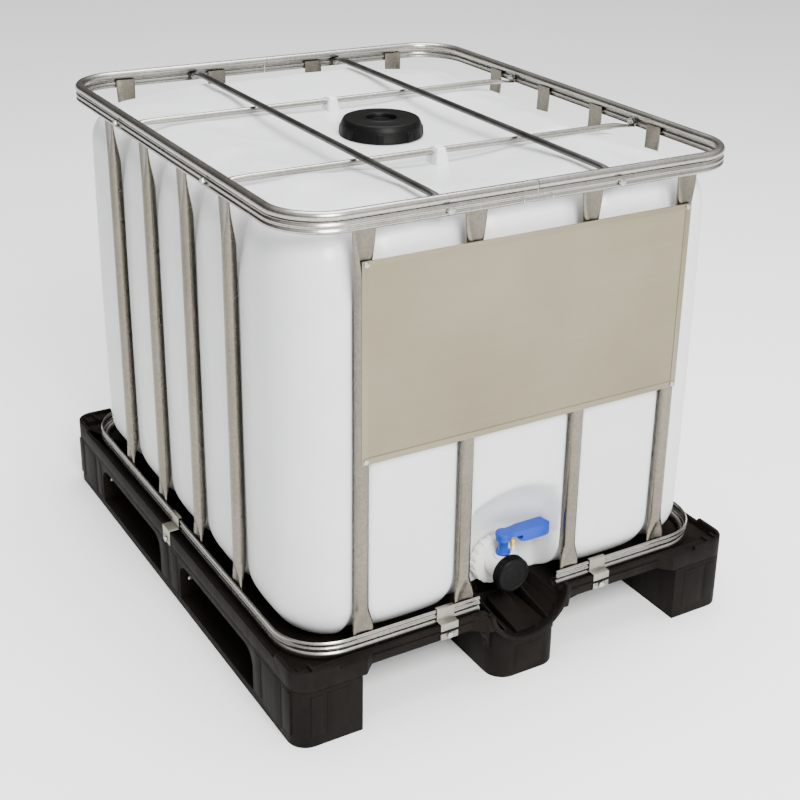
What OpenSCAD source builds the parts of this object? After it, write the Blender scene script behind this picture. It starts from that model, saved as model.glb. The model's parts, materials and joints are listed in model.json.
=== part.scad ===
// Intermediate bulk container: moulded pallet, tube cage, blow-moulded bottle,
// screw lid and outlet valve. Millimetres, +Z up, origin on the floor under the
// middle of the pallet, front (valve side) towards -Y.

/* [Pallet] */
// Pallet width, along X
pallet_w = 1000; // [860:10:1300]
// Pallet length, along Y
pallet_l = 1200; // [960:10:1500]
// Corner radius of the pallet in plan
pallet_r = 38; // [20:1:60]
// Height of the fork opening under the deck
fork_h = 118; // [100:1:140]
// Thickness of the deck plate
deck_t = 20; // [14:1:30]
// Height of the edge lip above the deck
lip_h = 12; // [6:1:20]
// Thickness of the edge lip
lip_t = 8; // [5:1:12]
// Extra height of the lip at the four corners
corner_lip = 9; // [4:1:14]
// How far the beams between the feet stand back from the feet
beam_setback = 24; // [10:1:30]
// Width of an outer skid
skid_w = 135; // [110:1:160]
// Width of the centre skid
mid_skid_w = 150; // [120:1:170]
// Length of the block at each end of a skid
end_block = 185; // [150:1:210]
// Length of the middle block of a skid
mid_block = 110; // [90:1:150]
// Thickness of the runner under the side pockets
runner_t = 18; // [12:1:28]
// Depth of the skid wall above a side pocket
pocket_head = 14; // [8:1:24]
// Corner radius at the top of a side pocket
pocket_r = 34; // [16:1:40]
// Wall of the hollow blocks
block_wall = 9; // [6:1:14]
// Radius of the drip scoop under the valve
scoop_r = 88; // [75:1:96]
// Height of the scoop's axis above the floor
scoop_z = 170; // [160:1:176]
// How far the scoop runs back from the front edge
scoop_l = 150; // [130:1:154]

/* [Cage] */
// Height from the floor to the top of the cage
cage_h = 988; // [820:4:1200]
// Outer width of the rings, along X
ring_w = 958; // [820:2:1240]
// Outer length of the rings, along Y
ring_l = 1120; // [900:2:1420]
// Outer corner radius of the rings
ring_r = 105; // [80:1:130]
// Diameter of the rolled bead of a ring
bead_d = 18; // [14:1:22]
// Height of the ribbed web of a ring
web_h = 22; // [20:1:28]
// Sheet thickness of a ring
ring_t = 2; // [1.5:0.1:2.5]
// Depth of the ribs rolled into the web
rib_d = 3; // [2:0.5:4]
// Gap in the bottom ring in front of the valve
valve_gap = 180; // [160:2:210]
// Diameter of an upright tube
tube_d = 27; // [22:1:30]
// Wall of an upright tube
tube_wall = 1.5; // [1:0.1:2.5]
// Width of the flattened tube end
flat_w = 44; // [36:1:48]
// Thickness of the flattened tube end
flat_t = 5; // [4:0.5:7]
// Length over which the tube flattens
flat_run = 46; // [30:1:60]
// Distance from the ring's side to the outer front tubes
front_tube_inset = 139; // [120:1:160]
// Distance from the middle to the inner front tubes
front_tube_inner = 123; // [114:1:140]
// Distance from the middle to the outer side tubes
side_tube_outer = 290; // [250:1:330]
// Distance from the middle to the inner side tubes
side_tube_inner = 96; // [70:1:130]

/* [Cross bars] */
// Diameter of a cross bar
bar_d = 13; // [10:1:14]
// Distance from the middle to a front-to-back bar
long_bar_x = 180; // [150:1:200]
// Distance from the middle to a left-to-right bar
tie_bar_y = 222; // [190:1:240]
// Diameter of the bar bolts
bolt_d = 8; // [6:1:8]

/* [Bottle] */
// Wall of the bottle
wall = 3; // [2:0.5:5]
// Height of the top panel below the top of the cage
bottle_drop = 56; // [50:1:80]
// Corner radius of the bottle in plan
bottle_r = 115; // [90:1:130]
// Height of the top edge rounding
top_round = 62; // [50:1:66]
// Outer diameter of the filling neck
neck_d = 148; // [120:1:160]
// Bore of the filling neck
neck_bore = 136; // [108:1:140]

/* [Lid] */
// Diameter of the lid at its rim
lid_d = 172; // [170:1:190]
// Diameter of the lid where its chamfer starts
lid_top_d = 164; // [160:1:168]
// Diameter of the flat top of the lid
lid_face_d = 153; // [140:1:156]
// Height of the lid
lid_h = 35; // [30:1:44]
// Diameter of the recess in the lid
lid_recess_d = 62; // [40:1:80]
// Thread pitch of the lid
lid_pitch = 12; // [8:1:16]

/* [Valve] */
// Height of the outlet's axis
valve_z = 184; // [180:1:200]
// Bore of the valve
valve_bore = 30; // [26:1:32]
// Diameter of the ball
ball_d = 40; // [38:1:44]
// Outer diameter of the valve body
valve_d = 56; // [52:1:60]
// Distance of the stem's axis behind the ring's front
stem_back = 60; // [58:1:64]
// Distance of the outlet cap's face behind the ring's front
cap_back = 18; // [10:1:20]
// Diameter of the outlet cap
cap_d = 74; // [70:1:84]
// Length of the outlet cap
cap_l = 22; // [20:1:23]
// Length of the lever from the stem's axis
lever_l = 104; // [80:1:120]
// Height of the lever's middle above the outlet's axis
lever_rise = 69; // [66:1:84]

/* [Plate and clips] */
// Width of the front plate
plate_w = 696; // [600:2:760]
// Height of the front plate
plate_h = 374; // [260:2:400]
// Height of the plate's top edge below the ring's lower edge
plate_drop = 53; // [48:1:90]
// Sheet thickness of the plate and the clips
sheet_t = 1.5; // [1:0.1:2]
// Width of a clip
clip_w = 38; // [28:1:44]

/* [Hidden] */
$fn = 48;
hull_fn = 32;
slack = 0.4;
over = 1;

deck_z = fork_h + deck_t;
half_w = pallet_w / 2;
half_l = pallet_l / 2;
ring_x = ring_w / 2;
ring_y = ring_l / 2;
ring_h = bead_d + web_h - 2;
ring_low = deck_z;
ring_top = cage_h - ring_h;
web_back = rib_d + ring_t;
tube_in = web_back + flat_t / 2 + 7;
bead_in = bead_d / 2;
front_tube_xs = [
    -(ring_x - front_tube_inset),
    -front_tube_inner,
    front_tube_inner,
    ring_x - front_tube_inset
];
side_tube_ys = [side_tube_outer, side_tube_inner, -side_tube_inner, -side_tube_outer];

bar_bolt_z = ring_top + web_h / 2;
long_bar_z = bar_bolt_z + bar_d / 2 + 5;
tie_bar_z = long_bar_z - bar_d - 3;
tab_w = 20;
tab_h = 20;
tab_t = 4;
bar_run = 46;

bottle_x = ring_x - tube_in + 1;
bottle_y = ring_y - tube_in + 1;
bottle_low = deck_z;
bottle_top = cage_h - bottle_drop;
bottom_round = 70;
channel_d = tube_d + 9;
recess_ball = 250;
recess_back = ring_y - 112;
recess_half_w = front_tube_inner - tube_d / 2 - 4;
boss_y = -recess_back;
boss_d = 84;
core_x = bottle_x - 40.5;
core_front = -(bottle_y - 116.5);
core_back = bottle_y - 41.5;
core_low = bottle_low + 74;
core_high = bottle_top - 64;
neck_disc_r = 90;

lid_wall = 4;
lid_roof = 7;
lid_low = bottle_top + 4;
gasket_t = 3;
neck_top = lid_low + lid_h - lid_roof - gasket_t;

stem_y = -(ring_y - stem_back);
cap_face_y = -(ring_y - cap_back);
tail_d = 60;
tail_y = cap_face_y + 8;
stem_d = 18;
stem_bore_d = stem_d + 0.1;
boss_l = 20;
flange_d = 66;
boss_rise = lever_rise - 39;
hub_d = 30;
lever_z = valve_z + lever_rise;
lever_t = 18;

clip_front_x = 168;
clip_right_x = clip_front_x + 20;
clip_side_y = 8;

plate_top = ring_top - plate_drop;
plate_y = -(ring_y - tube_in + tube_d / 2);
hem_w = 12;
rivet_d = 5;

// ---------------------------------------------------------------- pallet

module rounded_plate(w, l, r) {
    union() {
        square([w - 2 * r, l], center = true);
        square([w, l - 2 * r], center = true);
        for (sx = [-1, 1], sy = [-1, 1])
            translate([sx * (w / 2 - r), sy * (l / 2 - r)])
                circle(r);
    }
}

// Stretch of the end beams that stands back between two feet
module beam_gap(side) {
    from = mid_skid_w / 2 + 16;
    to = half_w - skid_w - 8;
    polygon([
        [side * from, half_l + over],
        [side * (from + beam_setback), half_l - beam_setback],
        [side * (to - beam_setback), half_l - beam_setback],
        [side * to, half_l + over]
    ]);
}

module deck_outline() {
    difference() {
        rounded_plate(pallet_w, pallet_l, pallet_r);
        for (side = [-1, 1]) {
            beam_gap(side);
            mirror([0, 1]) beam_gap(side);
        }
    }
}

module scoop_cut() {
    translate([0, -half_l + scoop_l, scoop_z])
        rotate([90, 0, 0])
            cylinder(h = scoop_l + over, r = scoop_r);
}

module deck_slots() {
    slot_w = 46;
    slot_l = 70;
    pitch_x = 66;
    pitch_y = 92;
    nx = floor((ring_w / 2 - 40) / pitch_x);
    ny = floor((ring_l / 2 - 130) / pitch_y);
    for (i = [-nx:nx], j = [-ny:ny])
        translate([i * pitch_x, j * pitch_y, fork_h + deck_t / 2])
            cube([slot_w, slot_l, deck_t + 2], center = true);
}

module pallet_deck() {
    color("#1c1a19")
    difference() {
        union() {
            translate([0, 0, fork_h])
                linear_extrude(deck_t)
                    deck_outline();
            translate([0, 0, deck_z])
                linear_extrude(lip_h)
                    difference() {
                        deck_outline();
                        square([pallet_w - 2 * lip_t, pallet_l - 2 * (lip_t + beam_setback)], center = true);
                    }
            for (sx = [-1, 1], sy = [-1, 1])
                scale_corner(sx, sy);
        }
        scoop_cut();
        deck_slots();
    }
}

// Raised wall round one corner of the deck
module scale_corner(sx, sy) {
    mirror([sx < 0 ? 1 : 0, 0, 0])
        mirror([0, sy < 0 ? 1 : 0, 0])
            translate([half_w - pallet_r, half_l - pallet_r, deck_z]) {
                rotate_extrude(angle = 90)
                    translate([pallet_r - lip_t, 0])
                        square([lip_t, lip_h + corner_lip]);
                translate([pallet_r - lip_t, -50, 0])
                    cube([lip_t, 50, lip_h + corner_lip]);
                translate([-50, pallet_r - lip_t, 0])
                    cube([50, lip_t, lip_h + corner_lip]);
            }
}

// Y limits of the two side pockets
pocket_a = mid_block / 2;
pocket_b = half_l - end_block;

module pocket_profile() {
    top = fork_h - pocket_head;
    union() {
        translate([pocket_a, runner_t])
            square([pocket_b - pocket_a, top - pocket_r - runner_t]);
        translate([pocket_a + pocket_r, runner_t])
            square([pocket_b - pocket_a - 2 * pocket_r, top - runner_t]);
        for (y = [pocket_a + pocket_r, pocket_b - pocket_r])
            translate([y, top - pocket_r])
                circle(pocket_r);
    }
}

module pockets(w) {
    for (m = [0, 1])
        mirror([0, m, 0])
            rotate([90, 0, 90])
                translate([0, 0, -w / 2 - over])
                    linear_extrude(w + 2 * over)
                        pocket_profile();
}

// Hollow of one block, open upwards under the deck
module block_core(w, y0, y1) {
    translate([-w / 2 + block_wall, y0 + block_wall, runner_t])
        cube([w - 2 * block_wall, y1 - y0 - 2 * block_wall, fork_h]);
}

module skid_hollows(w) {
    pockets(w);
    block_core(w, -mid_block / 2, mid_block / 2);
    block_core(w, pocket_b, half_l);
}

module outer_skid(side) {
    color("#1c1a19")
    difference() {
        intersection() {
            translate([side * (half_w - skid_w / 2), 0, fork_h / 2])
                cube([skid_w, pallet_l, fork_h], center = true);
            linear_extrude(fork_h)
                rounded_plate(pallet_w, pallet_l, pallet_r);
        }
        translate([side * (half_w - skid_w / 2), 0, 0]) {
            skid_hollows(skid_w);
            block_core(skid_w, -half_l + pallet_r / 2, -pocket_b);
        }
    }
}

// Curved web that joins the front beam to the centre foot
module foot_fillet(side) {
    r = 56;
    x0 = mid_skid_w / 2;
    translate([0, -half_l + beam_setback + 26, 0])
        rotate([90, 0, 0])
            linear_extrude(26)
                difference() {
                    translate([side > 0 ? x0 : -x0 - r, fork_h - r])
                        square(r);
                    translate([side * (x0 + r), fork_h - r])
                        circle(r);
                }
}

module centre_skid() {
    nose_r = 40;
    color("#1c1a19")
    difference() {
        linear_extrude(fork_h)
            rounded_plate(mid_skid_w, pallet_l, nose_r);
        skid_hollows(mid_skid_w);
        scoop_cut();
    }
}

// Both curved webs beside the scoop
module front_webs() {
    color("#1c1a19")
    difference() {
        union() {
            foot_fillet(-1);
            foot_fillet(1);
        }
        scoop_cut();
    }
}

// Screws that hold the skids up to the deck, through the pockets' heads
module skid_screws() {
    color("gainsboro")
    for (x = [-(half_w - skid_w / 2), 0, half_w - skid_w / 2])
        for (y = [-1, 1] * (pocket_a + pocket_b) / 2)
            translate([x, y, fork_h - pocket_head - 3]) {
                cylinder(h = 3, d = 16);
                cylinder(h = pocket_head + 12, d = 6);
            }
}

// ---------------------------------------------------------------- rings

function web_outline() = [
    [-rib_d, 0],
    [0, web_h * 0.1],
    [0, web_h * 0.3],
    [-rib_d, web_h * 0.4],
    [-rib_d, web_h * 0.55],
    [0, web_h * 0.65],
    [0, web_h * 0.82],
    [-rib_d, web_h * 0.92],
    [-rib_d, web_h]
];

// Rolled section: u outwards, lower edge of the web at zero, bead on top
module ring_web() {
    edge = web_outline();
    count = len(edge);
    back = [for (i = [0:count - 1]) edge[count - 1 - i] - [ring_t, 0]];
    polygon(concat(edge, back));
}

module bead_ring() {
    difference() {
        circle(bead_d / 2);
        circle(bead_d / 2 - ring_t);
    }
}

module section_at(u) {
    translate([u, 0])
        ring_web();
    translate([u - bead_in, web_h - 2 + bead_d / 2])
        bead_ring();
}

// Straight length of the section, its outer face on the line x = u
module ring_straight(u, length) {
    rotate([90, 0, 0])
        linear_extrude(length)
            section_at(u);
}

module ring_corner(sx, sy, start) {
    translate([sx * (ring_x - ring_r), sy * (ring_y - ring_r), 0])
        rotate([0, 0, start])
            rotate_extrude(angle = 90)
                section_at(ring_r);
}

// Left half of a ring; front_end is how far from the middle its front end lies
module half_ring(front_end) {
    straight_x = ring_x - ring_r;
    straight_y = 2 * (ring_y - ring_r);
    rotate([0, 0, 180])
        translate([0, straight_y / 2, 0])
            ring_straight(ring_x, straight_y);
    ring_corner(-1, -1, 180);
    ring_corner(-1, 1, 90);
    rotate([0, 0, -90])
        translate([0, -front_end, 0])
            ring_straight(ring_y, straight_x - front_end);
    rotate([0, 0, 90])
        translate([0, straight_x, 0])
            ring_straight(ring_y, straight_x);
}

module bar_bolt_holes() {
    for (x = [-1, 1] * long_bar_x)
        translate([x, ring_y + over, bar_bolt_z])
            rotate([90, 0, 0])
                cylinder(h = 2 * (ring_y + over), d = bolt_d + 2 * slack);
    for (y = [-1, 1] * tie_bar_y)
        translate([-ring_x - over, y, bar_bolt_z])
            rotate([0, 90, 0])
                cylinder(h = 2 * (ring_x + over), d = bolt_d + 2 * slack);
}

module top_ring_left() {
    color("silver")
    difference() {
        translate([0, 0, ring_top])
            half_ring(0);
        bar_bolt_holes();
    }
}

module top_ring_right() {
    mirror([1, 0, 0])
        top_ring_left();
}

module bottom_ring_left() {
    color("silver")
    translate([0, 0, ring_low + ring_h])
        mirror([0, 0, 1])
            half_ring(valve_gap / 2);
}

module bottom_ring_right() {
    mirror([1, 0, 0])
        bottom_ring_left();
}

// Pegs inside the beads that line up the ring halves
module ring_spigots() {
    peg_d = bead_d - 2 * ring_t - 0.2;
    peg_l = 70;
    color("gray")
    for (place = [
        [-(ring_y - bead_in), cage_h - bead_in],
        [ring_y - bead_in, cage_h - bead_in],
        [ring_y - bead_in, ring_low + bead_in]
    ])
        translate([-peg_l / 2, place[0], place[1]])
            rotate([0, 90, 0])
                cylinder(h = peg_l, d = peg_d);
}

// ---------------------------------------------------------------- tubes

flat_low = ring_low + bead_d + 2;
flat_high = ring_low + ring_h;
round_low = flat_high + flat_run;
round_high = ring_top - flat_run;

// Length over which the round tube is pressed flat: z0 at the round end, z1 at the flat end
module tube_flare(z0, z1) {
    down = z1 < z0 ? 1 : -1;
    hull() {
        translate([0, 0, z0 + down * 3 - 0.5])
            cylinder(h = 1, d = tube_d - 0.6, $fn = hull_fn);
        translate([-flat_w / 2, tube_in - web_back - flat_t, z1 - (down > 0 ? 0 : 1)])
            cube([flat_w, flat_t, 1]);
    }
}

// Upright in local axes: +Y towards the ring, origin on the tube's own axis
module upright() {
    flat_y = tube_in - web_back - flat_t;
    color("silver")
    union() {
        translate([0, 0, round_low])
            difference() {
                cylinder(h = round_high - round_low, d = tube_d);
                translate([0, 0, 20])
                    cylinder(h = round_high - round_low - 40, d = tube_d - 2 * tube_wall);
            }
        tube_flare(round_low, flat_high);
        tube_flare(round_high, ring_top);
        translate([-flat_w / 2, flat_y, flat_low])
            cube([flat_w, flat_t, flat_high - flat_low]);
        translate([-flat_w / 2, flat_y, ring_top])
            cube([flat_w, flat_t, web_h - 4]);
    }
}

module front_tube(i) {
    translate([front_tube_xs[i - 1], -(ring_y - tube_in), 0])
        rotate([0, 0, 180])
            upright();
}

module back_tube(i) {
    translate([front_tube_xs[i - 1], ring_y - tube_in, 0])
        upright();
}

module left_tube(i) {
    translate([-(ring_x - tube_in), side_tube_ys[i - 1], 0])
        rotate([0, 0, 90])
            upright();
}

module right_tube(i) {
    translate([ring_x - tube_in, side_tube_ys[i - 1], 0])
        rotate([0, 0, -90])
            upright();
}

// ---------------------------------------------------------------- cross bars

// One end of a bar: flattened, set towards the web and drilled. Bar along +Y
module bar_end(reach, bar_z) {
    difference() {
        union() {
            hull() {
                translate([0, reach - bar_run, bar_z])
                    rotate([90, 0, 0])
                        cylinder(h = 0.02, d = bar_d, $fn = hull_fn);
                translate([-tab_w / 2, reach - tab_t, bar_bolt_z - tab_h / 2])
                    cube([tab_w, 0.02, tab_h * 0.6]);
            }
            translate([-tab_w / 2, reach - tab_t, bar_bolt_z - tab_h / 2])
                cube([tab_w, tab_t, tab_h * 0.9]);
        }
        translate([0, reach + over, bar_bolt_z])
            rotate([90, 0, 0])
                cylinder(h = 24, d = bolt_d + 2 * slack);
        translate([0, reach - tab_t, bar_bolt_z])
            rotate([90, 0, 0])
                cylinder(h = 22, d = 17);
    }
}

module cross_bar(reach, bar_z) {
    color("darkgray")
    union() {
        translate([0, reach - bar_run, bar_z])
            rotate([90, 0, 0])
                cylinder(h = 2 * (reach - bar_run), d = bar_d);
        bar_end(reach, bar_z);
        mirror([0, 1, 0])
            bar_end(reach, bar_z);
    }
}

module long_bar(side) {
    translate([side * long_bar_x, 0, 0])
        cross_bar(ring_y - web_back, long_bar_z);
}

module tie_bar(side) {
    translate([0, side * tie_bar_y, 0])
        rotate([0, 0, 90])
            cross_bar(ring_x - web_back, tie_bar_z);
}

// Places of the eight bar bolts: position on the ring's outer face and turn
function bolt_places() = [
    [-long_bar_x, -ring_y, 0],
    [long_bar_x, -ring_y, 0],
    [long_bar_x, ring_y, 180],
    [-long_bar_x, ring_y, 180],
    [ring_x, -tie_bar_y, 90],
    [ring_x, tie_bar_y, 90],
    [-ring_x, tie_bar_y, -90],
    [-ring_x, -tie_bar_y, -90]
];

module at_bolts() {
    for (p = bolt_places())
        translate([p[0], p[1], bar_bolt_z])
            rotate([0, 0, p[2]])
                rotate([-90, 0, 0])
                    children();
}

module bar_bolts() {
    head_t = 5;
    shank = web_back + tab_t + 10;
    color("gainsboro")
    at_bolts() {
        translate([0, 0, -head_t])
            cylinder(h = head_t, d = 15, $fn = 6);
        cylinder(h = shank, d = bolt_d);
    }
}

module bar_nuts() {
    nut_t = 6;
    color("gainsboro")
    at_bolts()
        translate([0, 0, web_back + tab_t])
            difference() {
                cylinder(h = nut_t, d = 15, $fn = 6);
                translate([0, 0, -over])
                    cylinder(h = nut_t + 2 * over, d = bolt_d + 0.05);
            }
}

// ---------------------------------------------------------------- clips

clip_low = fork_h + 1;
clip_hook = 7;
clip_top = ring_low + ring_h + 1.5;
clip_screw_z = fork_h + 9;

// Clip in local axes: +Y outwards, ring face at zero, beam face at beam_out
module clip(beam_out) {
    step_z = deck_z + lip_h + 2;
    face = 0.4;
    color("silver")
    difference() {
        translate([-clip_w / 2, 0, 0])
            union() {
                translate([0, face, step_z])
                    cube([clip_w, sheet_t, clip_top - step_z + sheet_t]);
                translate([0, face - clip_hook, clip_top])
                    cube([clip_w, clip_hook + sheet_t, sheet_t]);
                translate([0, face - clip_hook, clip_top - 8])
                    cube([clip_w, sheet_t, 8]);
                translate([0, face, step_z])
                    cube([clip_w, beam_out + sheet_t - face, sheet_t]);
                translate([0, beam_out, clip_low])
                    cube([clip_w, sheet_t, step_z - clip_low + sheet_t]);
            }
        translate([0, beam_out + sheet_t + over, clip_screw_z])
            rotate([90, 0, 0])
                cylinder(h = sheet_t + 2 * over, d = 6 + 2 * slack);
    }
}

end_out = half_l - beam_setback - ring_y;
side_out = half_w - ring_x;

// Places of the six clips: x, y, turn and the beam's distance from the ring
function clip_places() = [
    [-clip_front_x, -ring_y, 180, end_out],
    [clip_right_x, -ring_y, 180, end_out],
    [-ring_x, clip_side_y, 90, side_out],
    [ring_x, clip_side_y, -90, side_out],
    [-clip_front_x, ring_y, 0, end_out],
    [clip_front_x, ring_y, 0, end_out]
];

module clip_at(i) {
    p = clip_places()[i];
    translate([p[0], p[1], 0])
        rotate([0, 0, p[2]])
            clip(p[3]);
}

module clip_screws() {
    color("gainsboro")
    for (p = clip_places())
        translate([p[0], p[1], clip_screw_z])
            rotate([0, 0, p[2]])
                translate([0, p[3] + sheet_t, 0])
                    rotate([-90, 0, 0]) {
                        cylinder(h = 4, d = 12);
                        translate([0, 0, -sheet_t])
                            cylinder(h = sheet_t, d = 6);
                    }
}

// ---------------------------------------------------------------- plate

module front_plate() {
    low = plate_top - plate_h;
    color("#a89f8f")
    difference() {
        translate([-plate_w / 2, plate_y - sheet_t, low])
            union() {
                cube([plate_w, sheet_t, plate_h]);
                for (z = [0, plate_h - hem_w])
                    translate([0, -sheet_t, z])
                        cube([plate_w, sheet_t, hem_w]);
                for (x = [0, plate_w - hem_w])
                    translate([x, -sheet_t, 0])
                        cube([hem_w, sheet_t, plate_h]);
            }
        rivet_spots()
            cylinder(h = 20, d = rivet_d + 2 * slack, center = true);
    }
}

module rivet_spots() {
    for (x = [front_tube_xs[0], front_tube_xs[3]])
        for (z = [plate_top - hem_w / 2, plate_top - plate_h + hem_w / 2])
            translate([x, plate_y - 2 * sheet_t, z])
                rotate([90, 0, 0])
                    children();
}

module plate_rivets() {
    color("gainsboro")
    rivet_spots() {
        cylinder(h = 2, d = 10);
        translate([0, 0, -2 * sheet_t])
            cylinder(h = 2 * sheet_t, d = rivet_d);
    }
}

// ---------------------------------------------------------------- bottle

// Upright outline of the tank: width w, shrunk by the distance inset
module tank_outline(w, inset) {
    half = w / 2 - inset;
    low = bottle_low + inset;
    top = bottle_top - inset;
    r_low = bottom_round - inset;
    r_top = top_round - inset;
    union() {
        translate([-half, low + r_low])
            square([2 * half, top - r_top - low - r_low]);
        translate([-half + r_low, low])
            square([2 * (half - r_low), r_low + over]);
        translate([-half + r_top, top - r_top - over])
            square([2 * (half - r_top), r_top + over]);
        for (s = [-1, 1]) {
            translate([s * (half - r_low), low + r_low])
                circle(r_low);
            translate([s * (half - r_top), top - r_top])
                circle(r_top);
        }
    }
}

// Rounded tank body, shrunk by the distance inset
module tank(inset) {
    intersection() {
        linear_extrude(cage_h)
            rounded_plate(2 * (bottle_x - inset), 2 * (bottle_y - inset), bottle_r - inset);
        translate([0, bottle_y, 0])
            rotate([90, 0, 0])
                linear_extrude(2 * bottle_y)
                    tank_outline(2 * bottle_x, inset);
        translate([-bottle_x, 0, 0])
            rotate([90, 0, 90])
                linear_extrude(2 * bottle_x)
                    tank_outline(2 * bottle_y, inset);
    }
}

module channels(grow) {
    d = channel_d + 2 * grow;
    low = bottle_low - over;
    tall = bottle_top - bottle_low;
    for (x = front_tube_xs, sy = [-1, 1])
        translate([x, sy * (ring_y - tube_in), low])
            cylinder(h = tall, d = d);
    for (y = side_tube_ys, sx = [-1, 1])
        translate([sx * (ring_x - tube_in), y, low])
            cylinder(h = tall, d = d);
}

// Hollow in the front wall round the valve
module valve_recess(grow) {
    intersection() {
        translate([0, -(recess_back + recess_ball), valve_z])
            sphere(recess_ball + grow, $fn = 96);
        translate([-recess_half_w - grow, -ring_y, bottle_low - over])
            cube([2 * (recess_half_w + grow), ring_y - recess_back + 20, 330]);
    }
}

module bottle_shell() {
    difference() {
        union() {
            difference() {
                tank(0);
                channels(0);
                valve_recess(0);
            }
            translate([0, boss_y + 14, valve_z])
                rotate([90, 0, 0])
                    cylinder(h = 14 + boss_l, d = boss_d - 16);
        }
        difference() {
            tank(wall);
            channels(wall);
            valve_recess(wall);
            translate([0, boss_y + 14, valve_z])
                rotate([90, 0, 0])
                    cylinder(h = 14 + boss_l, d = boss_d - 16);
        }
        translate([0, 0, bottle_top - 3 * wall])
            cylinder(h = 6 * wall, d = neck_bore);
        translate([0, boss_y + 14 + over, valve_z])
            rotate([90, 0, 0])
                cylinder(h = 14 + boss_l + 2 * over, d = valve_bore);
    }
}

// Part of the shell between two opposite corners
module shell_part(low, high) {
    color("#f2f4f4")
    intersection() {
        bottle_shell();
        translate(low)
            cube(high - low);
    }
}

// Front wall with the hollow and the outlet, and the back wall
module bottle_ends() {
    shell_part([-half_w, -half_l, bottle_low - over], [half_w, core_front, core_high]);
    shell_part([-half_w, core_back, core_low], [half_w, half_l, core_high]);
}

module bottle_base() {
    shell_part([-half_w, core_front, bottle_low - over], [half_w, half_l, core_low]);
}

// Left and right walls between the two ends
module bottle_sides() {
    shell_part([-half_w, core_front, core_low], [-core_x, core_back, core_high]);
    shell_part([core_x, core_front, core_low], [half_w, core_back, core_high]);
}

module bottle_top_panel() {
    color("#f2f4f4")
    difference() {
        shell_part([-half_w, -half_l, core_high], [half_w, half_l, cage_h]);
        translate([0, 0, core_high])
            cylinder(h = cage_h, r = neck_disc_r);
    }
}

// Neck with the disc of the top panel that it stands on, and the bars' lugs
module bottle_neck() {
    bar_lugs();
    color("#f2f4f4")
    difference() {
        union() {
            translate([0, 0, bottle_top])
                cylinder(h = neck_top - bottle_top, d = neck_d);
            translate([0, 0, bottle_top - wall])
                cylinder(h = wall, r = neck_disc_r);
        }
        translate([0, 0, bottle_top - 2 * wall])
            cylinder(h = neck_top - bottle_top + 3 * wall, d = neck_bore);
    }
}

// Lugs moulded on the seam that hold the left-to-right bars
module bar_lugs() {
    lug_w = 26;
    lug_l = bar_d + 16;
    color("#f2f4f4")
    for (y = [-1, 1] * tie_bar_y)
        translate([0, y, 0])
            difference() {
                translate([-lug_w / 2, -lug_l / 2, bottle_top])
                    cube([lug_w, lug_l, tie_bar_z + bar_d / 2 + 4 - bottle_top]);
                translate([-lug_w, 0, tie_bar_z])
                    rotate([0, 90, 0])
                        cylinder(h = 2 * lug_w, d = bar_d + 2 * slack);
            }
}

// ---------------------------------------------------------------- lid

module lid() {
    cavity_d = neck_d + 2;
    skirt_h = lid_h - 11;
    color("#1b1b1b")
    difference() {
        translate([0, 0, lid_low])
            union() {
                cylinder(h = skirt_h, d1 = lid_d, d2 = lid_top_d);
                translate([0, 0, skirt_h])
                    cylinder(h = lid_h - skirt_h, d1 = lid_top_d, d2 = lid_face_d);
                for (a = [0:45:315])
                    rotate([0, 0, a + 12])
                        translate([lid_top_d / 2 - 4, -4, 0])
                            cube([lid_d / 2 - lid_top_d / 2 + 5, 8, skirt_h - 3]);
            }
        translate([0, 0, lid_low - over])
            cylinder(h = lid_h - lid_roof + over, d = cavity_d);
        translate([0, 0, lid_low + lid_h - 4])
            cylinder(h = 5, d = lid_recess_d);
    }
}

module lid_gasket() {
    color("dimgray")
    translate([0, 0, neck_top])
        difference() {
            cylinder(h = gasket_t, d = neck_d);
            translate([0, 0, -over])
                cylinder(h = gasket_t + 2 * over, d = neck_bore + 2);
        }
}

// ---------------------------------------------------------------- valve

// Lays a module along the outlet: local +Z points to -Y, zero at world y
module along_outlet(y) {
    translate([0, y, valve_z])
        rotate([90, 0, 0])
            children();
}

boss_face = boss_y - boss_l;
seat_t = 6;
body_front = stem_y - ball_d / 2 - 2;

module valve_nut() {
    back = boss_face + 11;
    color("ivory")
    along_outlet(back)
        difference() {
            union() {
                cylinder(h = 20, d = boss_d + 12);
                for (a = [0:20:340])
                    rotate([0, 0, a])
                        translate([boss_d / 2 + 4, -4, 0])
                            cube([4, 8, 18]);
            }
            translate([0, 0, -over])
                cylinder(h = 16 + over, d = boss_d - 16 + 2 * slack);
            cylinder(h = 22, d = valve_d + 2 * slack);
        }
}

module valve_gasket() {
    color("dimgray")
    along_outlet(boss_face)
        difference() {
            cylinder(h = 2, d = valve_d - 4);
            translate([0, 0, -over])
                cylinder(h = 2 + 2 * over, d = valve_bore);
        }
}

module valve_body() {
    start = boss_face - 2;
    length = start - body_front;
    cavity = ball_d + 2 * slack;
    color("ivory")
    difference() {
        union() {
            along_outlet(start)
                cylinder(h = length, d = valve_d);
            along_outlet(start)
                cylinder(h = 3, d = flange_d);
            along_outlet(body_front + 2)
                cylinder(h = body_front - tail_y + 2, d = tail_d);
            translate([0, stem_y, valve_z])
                cylinder(h = boss_rise, d = hub_d + 6);
        }
        along_outlet(start + over)
            cylinder(h = start - tail_y + 2 * over, d = valve_bore);
        translate([0, stem_y, valve_z])
            sphere(d = cavity, $fn = 96);
        along_outlet(start + over)
            cylinder(h = start - stem_y + over, d = cavity);
        translate([0, stem_y, valve_z])
            cylinder(h = lever_rise, d = stem_bore_d);
    }
}

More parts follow.
